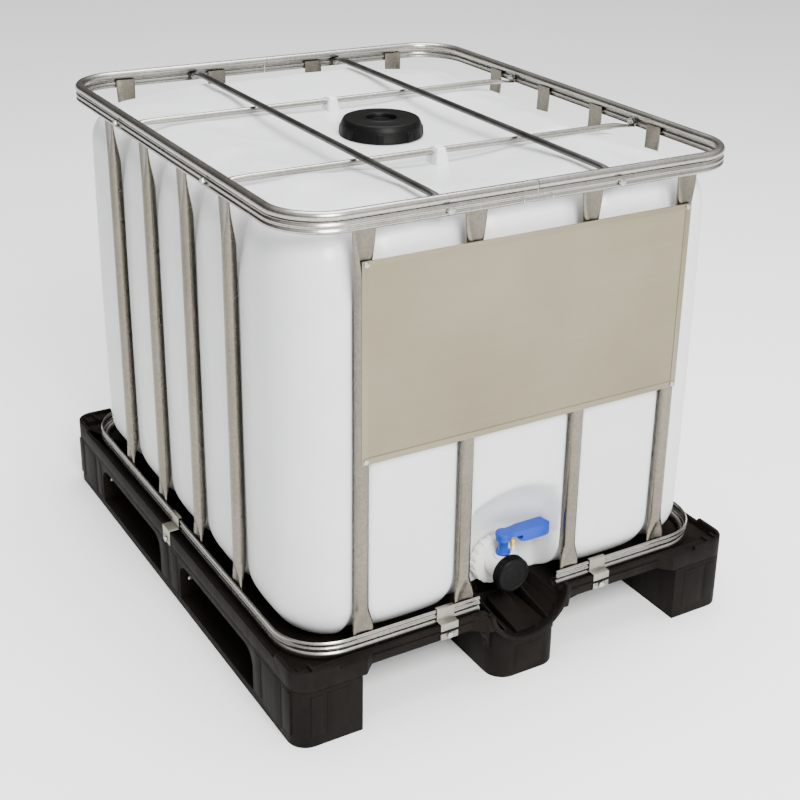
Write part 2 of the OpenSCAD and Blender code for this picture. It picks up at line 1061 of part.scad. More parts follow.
module ball_seats() {
    start = boss_face - 2;
    seat_y = stem_y + ball_d / 2 - 10;
    color("white")
    difference() {
        along_outlet(start)
            cylinder(h = start - seat_y, d = ball_d);
        along_outlet(start + over)
            cylinder(h = start - seat_y + 2 * over, d = valve_bore);
        translate([0, stem_y, valve_z])
            sphere(d = ball_d + slack, $fn = 96);
    }
}

module ball() {
    color("whitesmoke")
    translate([0, stem_y, valve_z])
        difference() {
            sphere(d = ball_d - slack, $fn = 96);
            rotate([0, 90, 0])
                cylinder(h = ball_d + 2, d = valve_bore - 6, center = true);
            translate([0, 0, ball_d / 2 - 6])
                cylinder(h = 10, d = stem_d);
        }
}

module stem() {
    low = valve_z + ball_d / 2 - 6;
    collar_z = valve_z + boss_rise;
    color("#2f6fd0")
    translate([0, stem_y, 0])
        union() {
            translate([0, 0, low])
                cylinder(h = collar_z - low + 2, d = stem_d);
            translate([0, 0, collar_z + slack])
                cylinder(h = 7, d = hub_d);
            translate([0, 0, collar_z + slack])
                cylinder(h = lever_z - lever_t / 2 - collar_z - slack, d = hub_d - 8);
        }
}

module lever() {
    tip_r = 16;
    hub_r = 17;
    grip_drop = 8;
    color("#2f6fd0")
    translate([0, stem_y, lever_z])
        difference() {
            union() {
                translate([0, 0, -lever_t / 2])
                    cylinder(h = lever_t, r = hub_r);
                hull() {
                    translate([lever_l - tip_r, 0, -lever_t / 2 - grip_drop])
                        cylinder(h = lever_t + grip_drop, r = tip_r, $fn = hull_fn);
                    translate([6, 0, -lever_t / 2])
                        cylinder(h = lever_t, r = hub_r - 4, $fn = hull_fn);
                }
            }
            translate([0, 0, lever_t / 2 - 5])
                cylinder(h = 6, d = 14);
            translate([0, 0, -lever_t / 2 - over])
                cylinder(h = lever_t, d = 5 + 2 * slack);
            translate([0, 0, -lever_t / 2 - grip_drop])
                cylinder(h = grip_drop, d = hub_d - 8 + 4 * slack);
            translate([30, 0, -lever_t - 2])
                cylinder(h = lever_t, d = 7);
        }
}

module lever_screw() {
    color("gainsboro")
    translate([0, stem_y, lever_z + lever_t / 2 - 5]) {
        cylinder(h = 4, d = 12);
        translate([0, 0, -(lever_t - 5)])
            cylinder(h = lever_t - 5, d = 5);
    }
}

module lever_stop() {
    low = valve_z + valve_d / 2 - 14;
    color("gold")
    difference() {
        translate([hub_d / 2 + 4, stem_y - 4, low])
            cube([4, 8, lever_z - lever_t / 2 - 4 - low]);
        along_outlet(stem_y + 20)
            cylinder(h = 40, d = valve_d);
    }
}

module outlet_cap() {
    roof = 5;
    color("#1b1b1b")
    along_outlet(cap_face_y + cap_l)
        difference() {
            union() {
                cylinder(h = cap_l - 4, d = cap_d);
                translate([0, 0, cap_l - 4])
                    cylinder(h = 4, d1 = cap_d, d2 = cap_d - 8);
                for (a = [0:15:345])
                    rotate([0, 0, a])
                        translate([cap_d / 2 - 2, -1.5, 2])
                            cube([3, 3, cap_l - 8]);
            }
            translate([0, 0, -over])
                cylinder(h = cap_l - roof + over, d = tail_d + 2);
        }
}

module cap_gasket() {
    color("dimgray")
    along_outlet(tail_y)
        difference() {
            cylinder(h = 3, d = tail_d);
            translate([0, 0, -over])
                cylinder(h = 3 + 2 * over, d = valve_bore);
        }
}

// ---------------------------------------------------------------- assembly

pallet_deck();
outer_skid(-1);  // left_skid
centre_skid();
outer_skid(1);  // right_skid
front_webs();
skid_screws();
top_ring_left();
top_ring_right();
bottom_ring_left();
bottom_ring_right();
ring_spigots();
front_tube(1);  // front_tube_1
front_tube(2);  // front_tube_2
front_tube(3);  // front_tube_3
front_tube(4);  // front_tube_4
back_tube(1);  // back_tube_1
back_tube(2);  // back_tube_2
back_tube(3);  // back_tube_3
back_tube(4);  // back_tube_4
left_tube(1);  // left_tube_1
left_tube(2);  // left_tube_2
left_tube(3);  // left_tube_3
left_tube(4);  // left_tube_4
right_tube(1);  // right_tube_1
right_tube(2);  // right_tube_2
right_tube(3);  // right_tube_3
right_tube(4);  // right_tube_4
long_bar(-1);  // long_bar_left
long_bar(1);  // long_bar_right
tie_bar(-1);  // tie_bar_front
tie_bar(1);  // tie_bar_back
bar_bolts();
bar_nuts();
clip_at(0);  // clip_front_left
clip_at(1);  // clip_front_right
clip_at(2);  // clip_left
clip_at(3);  // clip_right
clip_at(4);  // clip_back_left
clip_at(5);  // clip_back_right
clip_screws();
front_plate();
plate_rivets();
bottle_ends();
bottle_sides();
bottle_base();
bottle_top_panel();
bottle_neck();
lid();
lid_gasket();
valve_nut();
valve_gasket();
valve_body();
ball_seats();
ball();
stem();
lever();
lever_screw();
lever_stop();
outlet_cap();
cap_gasket();
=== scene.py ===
import json
import math

import bmesh
import bpy
from mathutils import Matrix, Vector, noise

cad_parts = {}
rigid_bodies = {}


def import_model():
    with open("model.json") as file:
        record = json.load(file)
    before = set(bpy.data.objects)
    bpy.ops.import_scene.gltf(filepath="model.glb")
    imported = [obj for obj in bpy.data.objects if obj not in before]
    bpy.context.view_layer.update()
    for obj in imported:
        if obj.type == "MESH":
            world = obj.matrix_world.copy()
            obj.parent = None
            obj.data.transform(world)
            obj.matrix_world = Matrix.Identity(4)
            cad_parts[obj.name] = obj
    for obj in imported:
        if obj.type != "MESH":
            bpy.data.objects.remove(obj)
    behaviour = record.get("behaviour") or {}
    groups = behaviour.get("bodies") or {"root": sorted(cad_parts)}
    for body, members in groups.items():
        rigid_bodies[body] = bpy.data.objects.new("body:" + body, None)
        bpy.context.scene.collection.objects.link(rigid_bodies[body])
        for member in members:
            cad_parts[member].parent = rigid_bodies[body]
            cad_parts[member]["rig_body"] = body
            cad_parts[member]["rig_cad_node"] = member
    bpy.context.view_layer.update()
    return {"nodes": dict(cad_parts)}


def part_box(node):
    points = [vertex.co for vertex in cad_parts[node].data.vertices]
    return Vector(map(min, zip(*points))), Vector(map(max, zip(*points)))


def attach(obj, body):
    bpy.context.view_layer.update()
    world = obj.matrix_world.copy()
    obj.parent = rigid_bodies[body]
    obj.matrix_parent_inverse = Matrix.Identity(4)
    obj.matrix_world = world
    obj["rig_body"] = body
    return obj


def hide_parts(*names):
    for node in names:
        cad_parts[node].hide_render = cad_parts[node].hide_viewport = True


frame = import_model()
nodes = frame["nodes"]
bpy.ops.object.select_all(action="DESELECT")

# Camera, floor and light.
# The container stands on a pale studio floor, lit by one large soft box high in
# front, one overhead and a dim room that is brightest above.
EYE = Vector((-1.4011, -2.4993, 1.6980))
PAN = -0.557830
TILT = 0.395808
ROLL = 0.025574
LENS = 64.83

bpy.ops.object.camera_add(location=EYE)
camera = bpy.context.object
camera.name = "camera"
turn = Matrix.Rotation(PAN, 4, "Z") @ Matrix.Rotation(math.pi / 2 - TILT, 4, "X")
camera.matrix_world = Matrix.Translation(EYE) @ turn @ Matrix.Rotation(ROLL, 4, "Z")
camera.data.lens = LENS
camera.data.sensor_width = 36
camera.data.shift_x = -0.0525
camera.data.shift_y = -0.085
camera.data.clip_end = 200
bpy.context.scene.camera = camera


def soft_box(name, place, aim, size, power, colour):
    bpy.ops.object.light_add(type="AREA", location=place)
    lamp = bpy.context.object
    lamp.name = name
    lamp.data.shape = "RECTANGLE"
    lamp.data.size, lamp.data.size_y = size
    lamp.data.energy = power
    lamp.data.color = colour
    lamp.rotation_euler = (Vector(aim) - Vector(place)).to_track_quat("-Z", "Y").to_euler()


soft_box("key_light", (-0.7, -4.6, 4.0), (-0.1, -0.4, 0.5), (2.2, 2.2), 620, (1, 0.99, 0.975))
soft_box("top_light", (0.5, 0.4, 4.8), (0.1, 0, 0.9), (3.0, 3.0), 280, (1, 1, 1))

# The room is bright overhead and in front, dim and brown along the horizon.
world = bpy.data.worlds.new("studio_room")
bpy.context.scene.world = world
world.use_nodes = True
room = world.node_tree.nodes["Background"]
room.inputs["Strength"].default_value = 1.0
facing = world.node_tree.nodes.new("ShaderNodeTexCoord")
slope = world.node_tree.nodes.new("ShaderNodeVectorMath")
slope.operation = "DOT_PRODUCT"
slope.inputs[1].default_value = (0.05, -0.34, 0.94)
fade = world.node_tree.nodes.new("ShaderNodeValToRGB")
shift = world.node_tree.nodes.new("ShaderNodeMapRange")
shift.inputs["From Min"].default_value = -1
fade.color_ramp.elements[0].position = 0.40
fade.color_ramp.elements[0].color = (0.07, 0.075, 0.08, 1)
fade.color_ramp.elements[1].position = 0.92
fade.color_ramp.elements[1].color = (1.45, 1.47, 1.5, 1)
horizon = fade.color_ramp.elements.new(0.60)
horizon.color = (0.26, 0.24, 0.215, 1)
wires = world.node_tree.links
wires.new(facing.outputs["Generated"], slope.inputs[0])
wires.new(slope.outputs["Value"], shift.inputs["Value"])
wires.new(shift.outputs["Result"], fade.inputs["Fac"])
wires.new(fade.outputs["Color"], room.inputs["Color"])


def plain_material(name):
    """A new material and its Principled shader."""
    made = bpy.data.materials.new(name)
    made.use_nodes = True
    return made, made.node_tree.nodes["Principled BSDF"]


def wired(material, kind, **values):
    """Adds a shader node with its settings: inputs by name, the rest as properties."""
    node = material.node_tree.nodes.new(kind)
    for key, value in values.items():
        if key in node.inputs:
            node.inputs[key].default_value = value
        else:
            setattr(node, key, value)
    return node


def linked(material, *links):
    """Joins shader nodes: each link is (from node, its output, to node, its input)."""
    for out_node, out_name, in_node, in_name in links:
        material.node_tree.links.new(out_node.outputs[out_name], in_node.inputs[in_name])


def ramp(material, low, high, start=0.0, end=1.0):
    """A colour ramp between two tones."""
    node = wired(material, "ShaderNodeValToRGB")
    first, last = node.color_ramp.elements
    first.position, first.color = start, low
    last.position, last.color = end, high
    return node


def spread(material, low, high):
    """Maps 0 to 1 onto low to high."""
    node = wired(material, "ShaderNodeMapRange")
    node.inputs["To Min"].default_value = low
    node.inputs["To Max"].default_value = high
    return node


bpy.ops.mesh.primitive_grid_add(x_subdivisions=8, y_subdivisions=8, size=60)
floor = bpy.context.object
floor.name = "studio_floor"
floor_paint, shader = plain_material("floor_paint")
shader.inputs["Base Color"].default_value = (0.97, 0.97, 0.97, 1)
shader.inputs["Roughness"].default_value = 0.9
floor.data.materials.append(floor_paint)

# Pallet.
# A deck on three skids, moulded in black recycled polyethylene. The parts are
# screwed together from below; a scoop with two webs opens under the valve.
SCOOP_R = 0.088
SCOOP_Z = 0.170


def cad_copy(node, name):
    """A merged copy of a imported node, free to be shaped."""
    bpy.ops.object.select_all(action="DESELECT")
    source = nodes[node]
    source.hide_set(False)
    source.select_set(True)
    bpy.context.view_layer.objects.active = source
    bpy.ops.object.duplicate()
    made = bpy.context.object
    made.name = name
    made.parent = None
    made.matrix_world = Matrix.Identity(4)
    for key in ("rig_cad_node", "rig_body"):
        if key in made:
            del made[key]
    made.data.materials.clear()
    bpy.ops.object.mode_set(mode="EDIT")
    bpy.ops.mesh.select_all(action="SELECT")
    bpy.ops.mesh.remove_doubles(threshold=0.00005)
    bpy.ops.mesh.dissolve_limited(angle_limit=math.radians(0.6))
    bpy.ops.object.mode_set(mode="OBJECT")
    return made


def rounded_edges(piece, width, steps=2, angle=40):
    """Bevels every edge sharper than the angle and smooths the shading."""
    bpy.ops.object.select_all(action="DESELECT")
    piece.select_set(True)
    bpy.context.view_layer.objects.active = piece
    bpy.ops.object.modifier_add(type="BEVEL")
    bevel = piece.modifiers[-1]
    bevel.width = width
    bevel.segments = steps
    bevel.limit_method = "ANGLE"
    bevel.angle_limit = math.radians(angle)
    bevel.miter_outer = "MITER_ARC"
    bpy.ops.object.modifier_apply(modifier=bevel.name)
    bpy.ops.object.shade_smooth_by_angle(angle=math.radians(35))


def block(name, low, high):
    """A cube primitive between two corners, in millimetres, its place in its mesh."""
    low, high = Vector(low) / 1000, Vector(high) / 1000
    bpy.ops.object.select_all(action="DESELECT")
    bpy.ops.mesh.primitive_cube_add(size=1, location=(low + high) / 2)
    made = bpy.context.object
    made.name = name
    made.scale = high - low
    bpy.ops.object.transform_apply(location=True, rotation=True, scale=True)
    return made


def joined(name, pieces):
    """Several pieces made one."""
    bpy.ops.object.select_all(action="DESELECT")
    for piece in pieces:
        piece.select_set(True)
    bpy.context.view_layer.objects.active = pieces[0]
    bpy.ops.object.join()
    made = bpy.context.object
    made.name = name
    return made


pallet_plastic, shader = plain_material("pallet_plastic")
shader.inputs["Specular IOR Level"].default_value = 0.09
spots = wired(pallet_plastic, "ShaderNodeTexCoord")
cloud = wired(pallet_plastic, "ShaderNodeTexNoise", Scale=9, Detail=6, Roughness=0.65)
stretch = wired(pallet_plastic, "ShaderNodeMapping")
stretch.inputs["Scale"].default_value = (60, 60, 4)
drag = wired(pallet_plastic, "ShaderNodeTexNoise", Scale=1.0, Detail=4)
speck = wired(pallet_plastic, "ShaderNodeTexNoise", Scale=700, Detail=2)
tone = ramp(pallet_plastic, (0.0022, 0.0017, 0.0013, 1), (0.0075, 0.0052, 0.0036, 1), 0.35, 0.72)
gloss = spread(pallet_plastic, 0.55, 0.80)
rough = wired(pallet_plastic, "ShaderNodeBump", Strength=0.18, Distance=0.0005)
swirl = wired(pallet_plastic, "ShaderNodeBump", Strength=0.22, Distance=0.0018)
linked(pallet_plastic,
    (spots, "Object", cloud, "Vector"),
    (spots, "Object", stretch, "Vector"),
    (spots, "Object", speck, "Vector"),
    (stretch, "Vector", drag, "Vector"),
    (cloud, "Fac", tone, "Fac"),
    (tone, "Color", shader, "Base Color"),
    (drag, "Fac", gloss, "Value"),
    (gloss, "Result", shader, "Roughness"),
    (speck, "Fac", rough, "Height"),
    (cloud, "Fac", swirl, "Height"),
    (swirl, "Normal", rough, "Normal"),
    (rough, "Normal", shader, "Normal"))


def pallet_piece(piece, *stands_for):
    piece.data.materials.append(pallet_plastic)
    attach(piece, "root")
    if stands_for:
        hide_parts(*stands_for)


deck = cad_copy("pallet_deck", "deck")
rounded_edges(deck, 0.0022)
pallet_piece(deck, "pallet_deck")
for side in ("left", "centre", "right"):
    skid = cad_copy(side + "_skid", side + "_skid_moulding")
    rounded_edges(skid, 0.005, 3)
    pallet_piece(skid, side + "_skid")
webs = cad_copy("front_webs", "scoop_webs")
rounded_edges(webs, 0.004, 3)
pallet_piece(webs, "front_webs")

# Faint raised panels, rubbing strips and corner nubs moulded on the blocks.
panels = []
for side in (-1, 1):
    face = side * 500
    for low_y, high_y, low_z, high_z in (
        (-575, -545, 22, 112), (-538, -462, 14, 112), (-452, -425, 22, 112),
        (-44, -8, 22, 108), (8, 44, 22, 108), (425, 452, 22, 112),
        (462, 538, 14, 112), (545, 575, 22, 112)):
        edges = sorted((face - side * 3, face + side * 0.9))
        panels.append(block("panel", (edges[0], low_y, low_z), (edges[1], high_y, high_z)))
    for end in (-1, 1):
        low_x, high_x = sorted((side * 390, side * 438))
        low_y, high_y = sorted((end * 597, end * 600.8))
        panels.append(block("panel", (low_x, low_y, 22), (high_x, high_y, 108)))
        low_x, high_x = sorted((side * 446, side * 470))
        panels.append(block("panel", (low_x, low_y, 22), (high_x, high_y, 108)))
for end in (-1, 1):
    low_y, high_y = sorted((end * 597, end * 600.8))
    panels.append(block("panel", (-30, low_y, 14), (30, high_y, 66)))
panel_set = joined("block_panels", panels)
rounded_edges(panel_set, 0.0008, 2)
pallet_piece(panel_set)

# Lip round the scoop and the ribs on its floor.
bpy.ops.object.select_all(action="DESELECT")
lip = block("scoop_lip", (SCOOP_R * 1000 - 4, -604, 167), (SCOOP_R * 1000 + 5, -588, 170))
bpy.ops.object.mode_set(mode="EDIT")
bpy.ops.mesh.select_all(action="DESELECT")
shape = bmesh.from_edit_mesh(lip.data)
for face in shape.faces:
    face.select_set(face.normal.z < -0.9)
bmesh.update_edit_mesh(lip.data)
bpy.ops.mesh.spin(steps=28, angle=-math.radians(168), center=(0, -0.596, SCOOP_Z), axis=(0, 1, 0))
bpy.ops.mesh.select_all(action="SELECT")
bpy.ops.mesh.remove_doubles(threshold=0.00005)
bpy.ops.mesh.normals_make_consistent(inside=False)
bpy.ops.object.mode_set(mode="OBJECT")
rounded_edges(lip, 0.0020, 2)
pallet_piece(lip)

ribs = []
for low_x, high_x, low_y, high_y, height in (
    (-22, 22, -588, -452, 94), (-52, -46, -590, -452, 108), (46, 52, -590, -452, 108)):
    rib = block("rib", (low_x, low_y, 78), (high_x, high_y, height))
    for vert in rib.data.vertices:
        if vert.co.z > 0.09 and vert.co.y > -0.5:
            vert.co.z += 0.020
    ribs.append(rib)
ribs.append(block("rib", (-62, -478, 84), (62, -472, 118)))
rib_set = joined("scoop_ribs", ribs)
rounded_edges(rib_set, 0.0015, 2)
pallet_piece(rib_set)

# Stacking fins on the deck's rim beside the cage corners, and end-beam flanges.
fins = []
for side in (-1, 1):
    for end in (-1, 1):
        for low, high in ((455, 461), (478, 484)):
            low_x, high_x = sorted((side * low, side * high))
            low_y, high_y = sorted((end * 566, end * 594))
            fins.append(block("fin", (low_x, low_y, 136), (high_x, high_y, 156)))
    for low, high in ((100, 350), (-350, -100)):
        low_y, high_y = sorted((side * 574, side * 578.5))
        fins.append(block("fin", (low, low_y, 133), (high, high_y, 138.5)))
fin_set = joined("rim_fins", fins)
rounded_edges(fin_set, 0.0012, 2)
pallet_piece(fin_set)

# Skid screws.
# Zinc-plated pan-head screws driven up through the pocket roofs, and the pale
# plugs on the pocket walls.
zinc_plate, shader = plain_material("zinc_plate")
shader.inputs["Metallic"].default_value = 1.0
spots = wired(zinc_plate, "ShaderNodeTexCoord")
blush = wired(zinc_plate, "ShaderNodeTexNoise", Scale=260, Detail=4)
tone = ramp(zinc_plate, (0.30, 0.30, 0.29, 1), (0.52, 0.52, 0.50, 1))
gloss = spread(zinc_plate, 0.25, 0.48)
linked(zinc_plate,
    (spots, "Object", blush, "Vector"),
    (blush, "Fac", tone, "Fac"),
    (tone, "Color", shader, "Base Color"),
    (blush, "Fac", gloss, "Value"),
    (gloss, "Result", shader, "Roughness"))


def hardware(node, name, body, width):
    """Small plated pieces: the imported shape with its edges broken."""
    made = cad_copy(node, name)
    rounded_edges(made, width, 2, 30)
    made.data.materials.append(zinc_plate)
    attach(made, body)
    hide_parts(node)
    return made


def round_head(place, radius, squeeze, segments, rings):
    """A small ball at a place, squeezed along Y."""
    bpy.ops.object.select_all(action="DESELECT")
    bpy.ops.mesh.primitive_uv_sphere_add(
        segments=segments, ring_count=rings, radius=radius, location=place)
    made = bpy.context.object
    made.scale = (1, squeeze, 1)
    bpy.ops.object.transform_apply(location=True, rotation=True, scale=True)
    bpy.ops.object.shade_smooth()
    return made


hardware("skid_screws", "skid_screw_set", "root", 0.0008)
plugs = []
for side in (-1, 1):
    for place_y, place_z in ((0.4135, 0.068), (-0.0565, 0.060)):
        plugs.append(round_head((side * 0.478, place_y, place_z), 0.0055, 0.55, 16, 8))
plug_set = joined("pocket_plugs", plugs)
plug_set.data.materials.append(zinc_plate)
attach(plug_set, "root")

# Rings.
# Galvanised strip, roll-formed with two ribs and a bead curled along one edge,
# bent into halves that meet at the front and back centre. The lower ring is the
# same strip upside down, cut away in front of the valve.
RING_X = 0.479
RING_Y = 0.560
RING_R = 0.105
BEAD_R = 0.009
WEB = 0.022
STRIP = 0.0016
TOP_RING_Z = 0.950
LOW_RING_Z = 0.176
VALVE_GAP = 0.090


def rounded_plan(distance, half_x, half_y, radius):
    """Point and outward normal on a rounded rectangle, from the front centre towards +X."""
    flat_x, flat_y = half_x - radius, half_y - radius
    flats = [flat_x, 2 * flat_y, 2 * flat_x, 2 * flat_y, flat_x]
    outs = [Vector((0, -1)), Vector((1, 0)), Vector((0, 1)), Vector((-1, 0)), Vector((0, -1))]
    reaches = [half_y, half_x, half_y, half_x, half_y]
    arc = math.pi / 2 * radius
    left = distance
    for side in range(5):
        out = outs[side]
        along = Vector((-out.y, out.x))
        begin = 0.0 if side == 0 else -(flats[side] / 2 if side < 4 else flats[side])
        if left <= flats[side] or side == 4:
            return out * reaches[side] + along * (begin + left), out
        left -= flats[side]
        if left <= arc:
            a = left / radius
            corner = out * (reaches[side] - radius) + along * (begin + flats[side])
            normal = out * math.cos(a) + along * math.sin(a)
            return corner + normal * radius, normal
        left -= arc


def plan_length(half_x, half_y, radius):
    return 4 * (half_x + half_y) - (8 - 2 * math.pi) * radius


def wrapped_sheet(name, columns, rows, place):
    """A grid primitive laid over a surface: place(column, row) gives each point."""
    bpy.ops.object.select_all(action="DESELECT")
    bpy.ops.mesh.primitive_grid_add(x_subdivisions=columns - 1, y_subdivisions=rows - 1, size=1)
    made = bpy.context.object
    made.name = name
    for vert in made.data.vertices:
        column = min(columns - 1, max(0, round((vert.co.x + 0.5) * (columns - 1))))
        row = min(rows - 1, max(0, round((vert.co.y + 0.5) * (rows - 1))))
        vert.co = place(column, row)
    bpy.ops.object.mode_set(mode="EDIT")
    bpy.ops.mesh.select_all(action="SELECT")
    bpy.ops.mesh.remove_doubles(threshold=0.00002)
    bpy.ops.mesh.normals_make_consistent(inside=False)
    bpy.ops.object.mode_set(mode="OBJECT")
    return made


def ring_section():
    """Outward and upward offsets along the strip: ribbed web, then the curl."""
    line = []
    for i in range(15):
        rise = WEB * 0.93 * i / 14
        wave = 0.5 - 0.5 * math.cos(2 * math.pi * (rise / WEB * 2.15 + 0.08))
        line.append((-0.0028 * (1 - wave) - 0.0002, rise))
    for i in range(27):
        a = math.radians(-62 + 322 * i / 26)
        line.append((-BEAD_R + BEAD_R * math.cos(a), WEB + 0.007 + BEAD_R * math.sin(a)))
    return line


galvanised, shader = plain_material("galvanised_strip")
shader.inputs["Metallic"].default_value = 1.0
spots = wired(galvanised, "ShaderNodeTexCoord")
flow = wired(galvanised, "ShaderNodeTexNoise", Scale=7, Detail=5, Roughness=0.6)
spangle = wired(galvanised, "ShaderNodeTexVoronoi", Scale=150)
dust = wired(galvanised, "ShaderNodeTexNoise", Scale=900, Detail=2)
tone = ramp(galvanised, (0.300, 0.288, 0.262, 1), (0.440, 0.425, 0.395, 1), 0.3, 0.75)
blend = wired(galvanised, "ShaderNodeMix", data_type="FLOAT")
blend.inputs["Factor"].default_value = 0.30
gloss = spread(galvanised, 0.20, 0.34)
fine = wired(galvanised, "ShaderNodeBump", Strength=0.10, Distance=0.0003)
linked(galvanised,
    (spots, "Object", flow, "Vector"),
    (spots, "Object", spangle, "Vector"),
    (spots, "Object", dust, "Vector"),
    (flow, "Fac", blend, "A"),
    (spangle, "Distance", blend, "B"),
    (blend, "Result", tone, "Fac"),
    (tone, "Color", shader, "Base Color"),
    (flow, "Fac", gloss, "Value"),
    (gloss, "Result", shader, "Roughness"),
    (dust, "Fac", fine, "Height"),
    (fine, "Normal", shader, "Normal"))


def ring_half(name, node, side, low, flip, gap):
    """Half a ring on one side; low is the web's free edge, flip turns the bead down."""
    line = ring_section()
    whole = plan_length(RING_X, RING_Y, RING_R)
    flat = RING_X - RING_R
    arc = math.pi / 2 * RING_R
    run = 2 * (RING_Y - RING_R)
    stops = [gap, gap + 0.004, flat * 0.5, flat]
    stops += [flat + arc * i / 16 for i in range(1, 17)]
    stops += [flat + arc + run * i / 6 for i in range(1, 7)]
    stops += [flat + arc + run + arc * i / 16 for i in range(1, 17)]
    stops += [whole / 2 - flat * 0.5, whole / 2 - 0.004, whole / 2 - 0.0008]
    stops = sorted(set(stops))

    def place(column, row):
        point, out = rounded_plan(stops[column], RING_X, RING_Y, RING_R)
        offset, rise = line[row]
        point = point + out * offset
        return Vector((side * point.x, point.y, low - rise if flip else low + rise))

    made = wrapped_sheet(name, len(stops), len(line), place)
    bpy.ops.object.modifier_add(type="SOLIDIFY")
    made.modifiers[-1].thickness = STRIP
    made.modifiers[-1].offset = -1
    bpy.ops.object.modifier_apply(modifier=made.modifiers[-1].name)
    bpy.ops.object.shade_smooth_by_angle(angle=math.radians(60))
    made.data.materials.append(galvanised)
    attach(made, "root")
    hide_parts(node)
    return made


for side, word in ((-1, "left"), (1, "right")):
    ring_half("upper_ring_" + word, "top_ring_" + word, side, TOP_RING_Z, False, 0.0008)
    ring_half("lower_ring_" + word, "bottom_ring_" + word, side, LOW_RING_Z, True, VALVE_GAP)

spigots = cad_copy("ring_spigots", "bead_spigots")
rounded_edges(spigots, 0.0010, 2)
spigots.data.materials.append(galvanised)
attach(spigots, "root")
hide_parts("ring_spigots")

# Rivets that tie the halves to the sleeves behind the joints.
studs = []
for place_x, place_y, place_z in (
    (-0.012, -0.5605, 0.963), (0.012, -0.5605, 0.963),
    (-0.030, -0.5605, 0.954), (0.030, -0.5605, 0.954),
    (-0.012, 0.5605, 0.963), (0.012, 0.5605, 0.963),
    (-0.012, 0.5605, 0.163), (0.012, 0.5605, 0.163)):
    studs.append(round_head((place_x, place_y, place_z), 0.0028, 0.5, 16, 10))
stud_set = joined("joint_rivets", studs)
stud_set.data.materials.append(zinc_plate)
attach(stud_set, "root")

# Uprights and cross bars.
# Galvanised round tube, pressed flat at both ends and spot-welded inside the
# rings. The bars over the top are thinner tube, flattened, bent down and bolted.
TUBE_R = 0.0135
FLAT_HALF_WIDTH = 0.0215
FLAT_HALF_THICK = 0.0036
FLAT_SHIFT = 0.0068
FRONT_SPOTS = (-0.340, -0.123, 0.123, 0.340)
SIDE_SPOTS = (0.290, 0.096, -0.096, -0.290)
FRONT_TUBE_Y = 0.5455
SIDE_TUBE_X = 0.4645
LONG_BAR_X = 0.180
SHORT_BAR_Y = 0.222


def eased(low, high, value):
    """0 below low, 1 above high, smooth between."""
    t = min(1.0, max(0.0, (value - low) / (high - low)))
    return t * t * (3 - 2 * t)


# The uprights take a darker, browner copy of the strip's finish. This is painted shade standing in for the
# dark reflections on the tubes; the steel itself is the same galvanised strip.
tube_zinc_painted_shade = galvanised.copy()
tube_zinc_painted_shade.name = "tube_zinc_painted_shade"
for step in tube_zinc_painted_shade.node_tree.nodes:
    if step.type == "VALTORGB":
        step.color_ramp.elements[0].color = (0.138, 0.124, 0.100, 1)
        step.color_ramp.elements[1].color = (0.205, 0.187, 0.154, 1)


def formed_tube(name, stops, across, points=32):
    """A tube through stops: centre, half width, half thickness, squareness, facing, valley."""
    across = Vector(across)

    def place(column, row):
        centre, wide, thick, square = stops[row][:4]
        out = stops[row][4]
        a = 2 * math.pi * column / points
        c, s = math.cos(a), math.sin(a)
        x = wide * math.copysign(abs(c) ** square, c)
        y = thick * math.copysign(abs(s) ** square, s)
        if len(stops[row]) > 5 and s > 0:
            valley, dent = stops[row][5]
            y -= dent * math.exp(-((x / valley) ** 4))
        return Vector(centre) + across * x + Vector(out) * y

    made = wrapped_sheet(name, points + 1, len(stops), place)
    bpy.ops.object.mode_set(mode="EDIT")
    bpy.ops.mesh.select_all(action="DESELECT")
    bpy.ops.mesh.select_mode(type="EDGE")
    bpy.ops.mesh.select_non_manifold(extend=False, use_boundary=True)
    bpy.ops.mesh.edge_face_add()
    bpy.ops.mesh.select_mode(type="VERT")
    bpy.ops.mesh.select_all(action="SELECT")
    bpy.ops.mesh.normals_make_consistent(inside=False)
    bpy.ops.object.mode_set(mode="OBJECT")
    bpy.ops.object.shade_smooth_by_angle(angle=math.radians(50))
    return made


def upright(name, node, spot, out):
    """One upright at a spot; out points from the bottle to the ring."""
    out = Vector((out[0], out[1], 0))
    side = Vector((-out.y, out.x, 0))
    base = Vector((spot[0], spot[1], 0))
    rows = []
    for i in range(23):
        if i < 3:
            z, press = (0.1585, 0.166, 0.174)[i], 1.0
        elif i < 11:
            z = 0.176 + 0.050 * (i - 2) / 8
            press = 1 - eased(0.176, 0.232, z)
        elif i < 12:
            z, press = 0.55, 0.0
        elif i < 20:
            z = 0.862 + 0.088 * (i - 12) / 8
            press = eased(0.850, 0.952, z)
        else:
            z, press = (0.951, 0.960, 0.9675)[i - 20], 1.0
        press = min(1.0, max(0.0, press))
        rows.append((
            base + out * FLAT_SHIFT * press + Vector((0, 0, z)),
            TUBE_R + (FLAT_HALF_WIDTH - TUBE_R) * press ** 0.8,
            TUBE_R - (TUBE_R - FLAT_HALF_THICK) * press ** 0.9,
            1.0 - 0.40 * press,
            out,
            (0.001 + 0.0145 * press, 0.0026 * min(1, press * 2.2)),
        ))
    made = formed_tube(name, rows, side)
    made.data.materials.append(tube_zinc_painted_shade)
    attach(made, "root")
    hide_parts(node)


for number, x in enumerate(FRONT_SPOTS, 1):
    upright("front_upright_%d" % number, "front_tube_%d" % number, (x, -FRONT_TUBE_Y), (0, -1))
    upright("back_upright_%d" % number, "back_tube_%d" % number, (x, FRONT_TUBE_Y), (0, 1))
for number, y in enumerate(SIDE_SPOTS, 1):
    upright("left_upright_%d" % number, "left_tube_%d" % number, (-SIDE_TUBE_X, y), (-1, 0))
    upright("right_upright_%d" % number, "right_tube_%d" % number, (SIDE_TUBE_X, y), (1, 0))

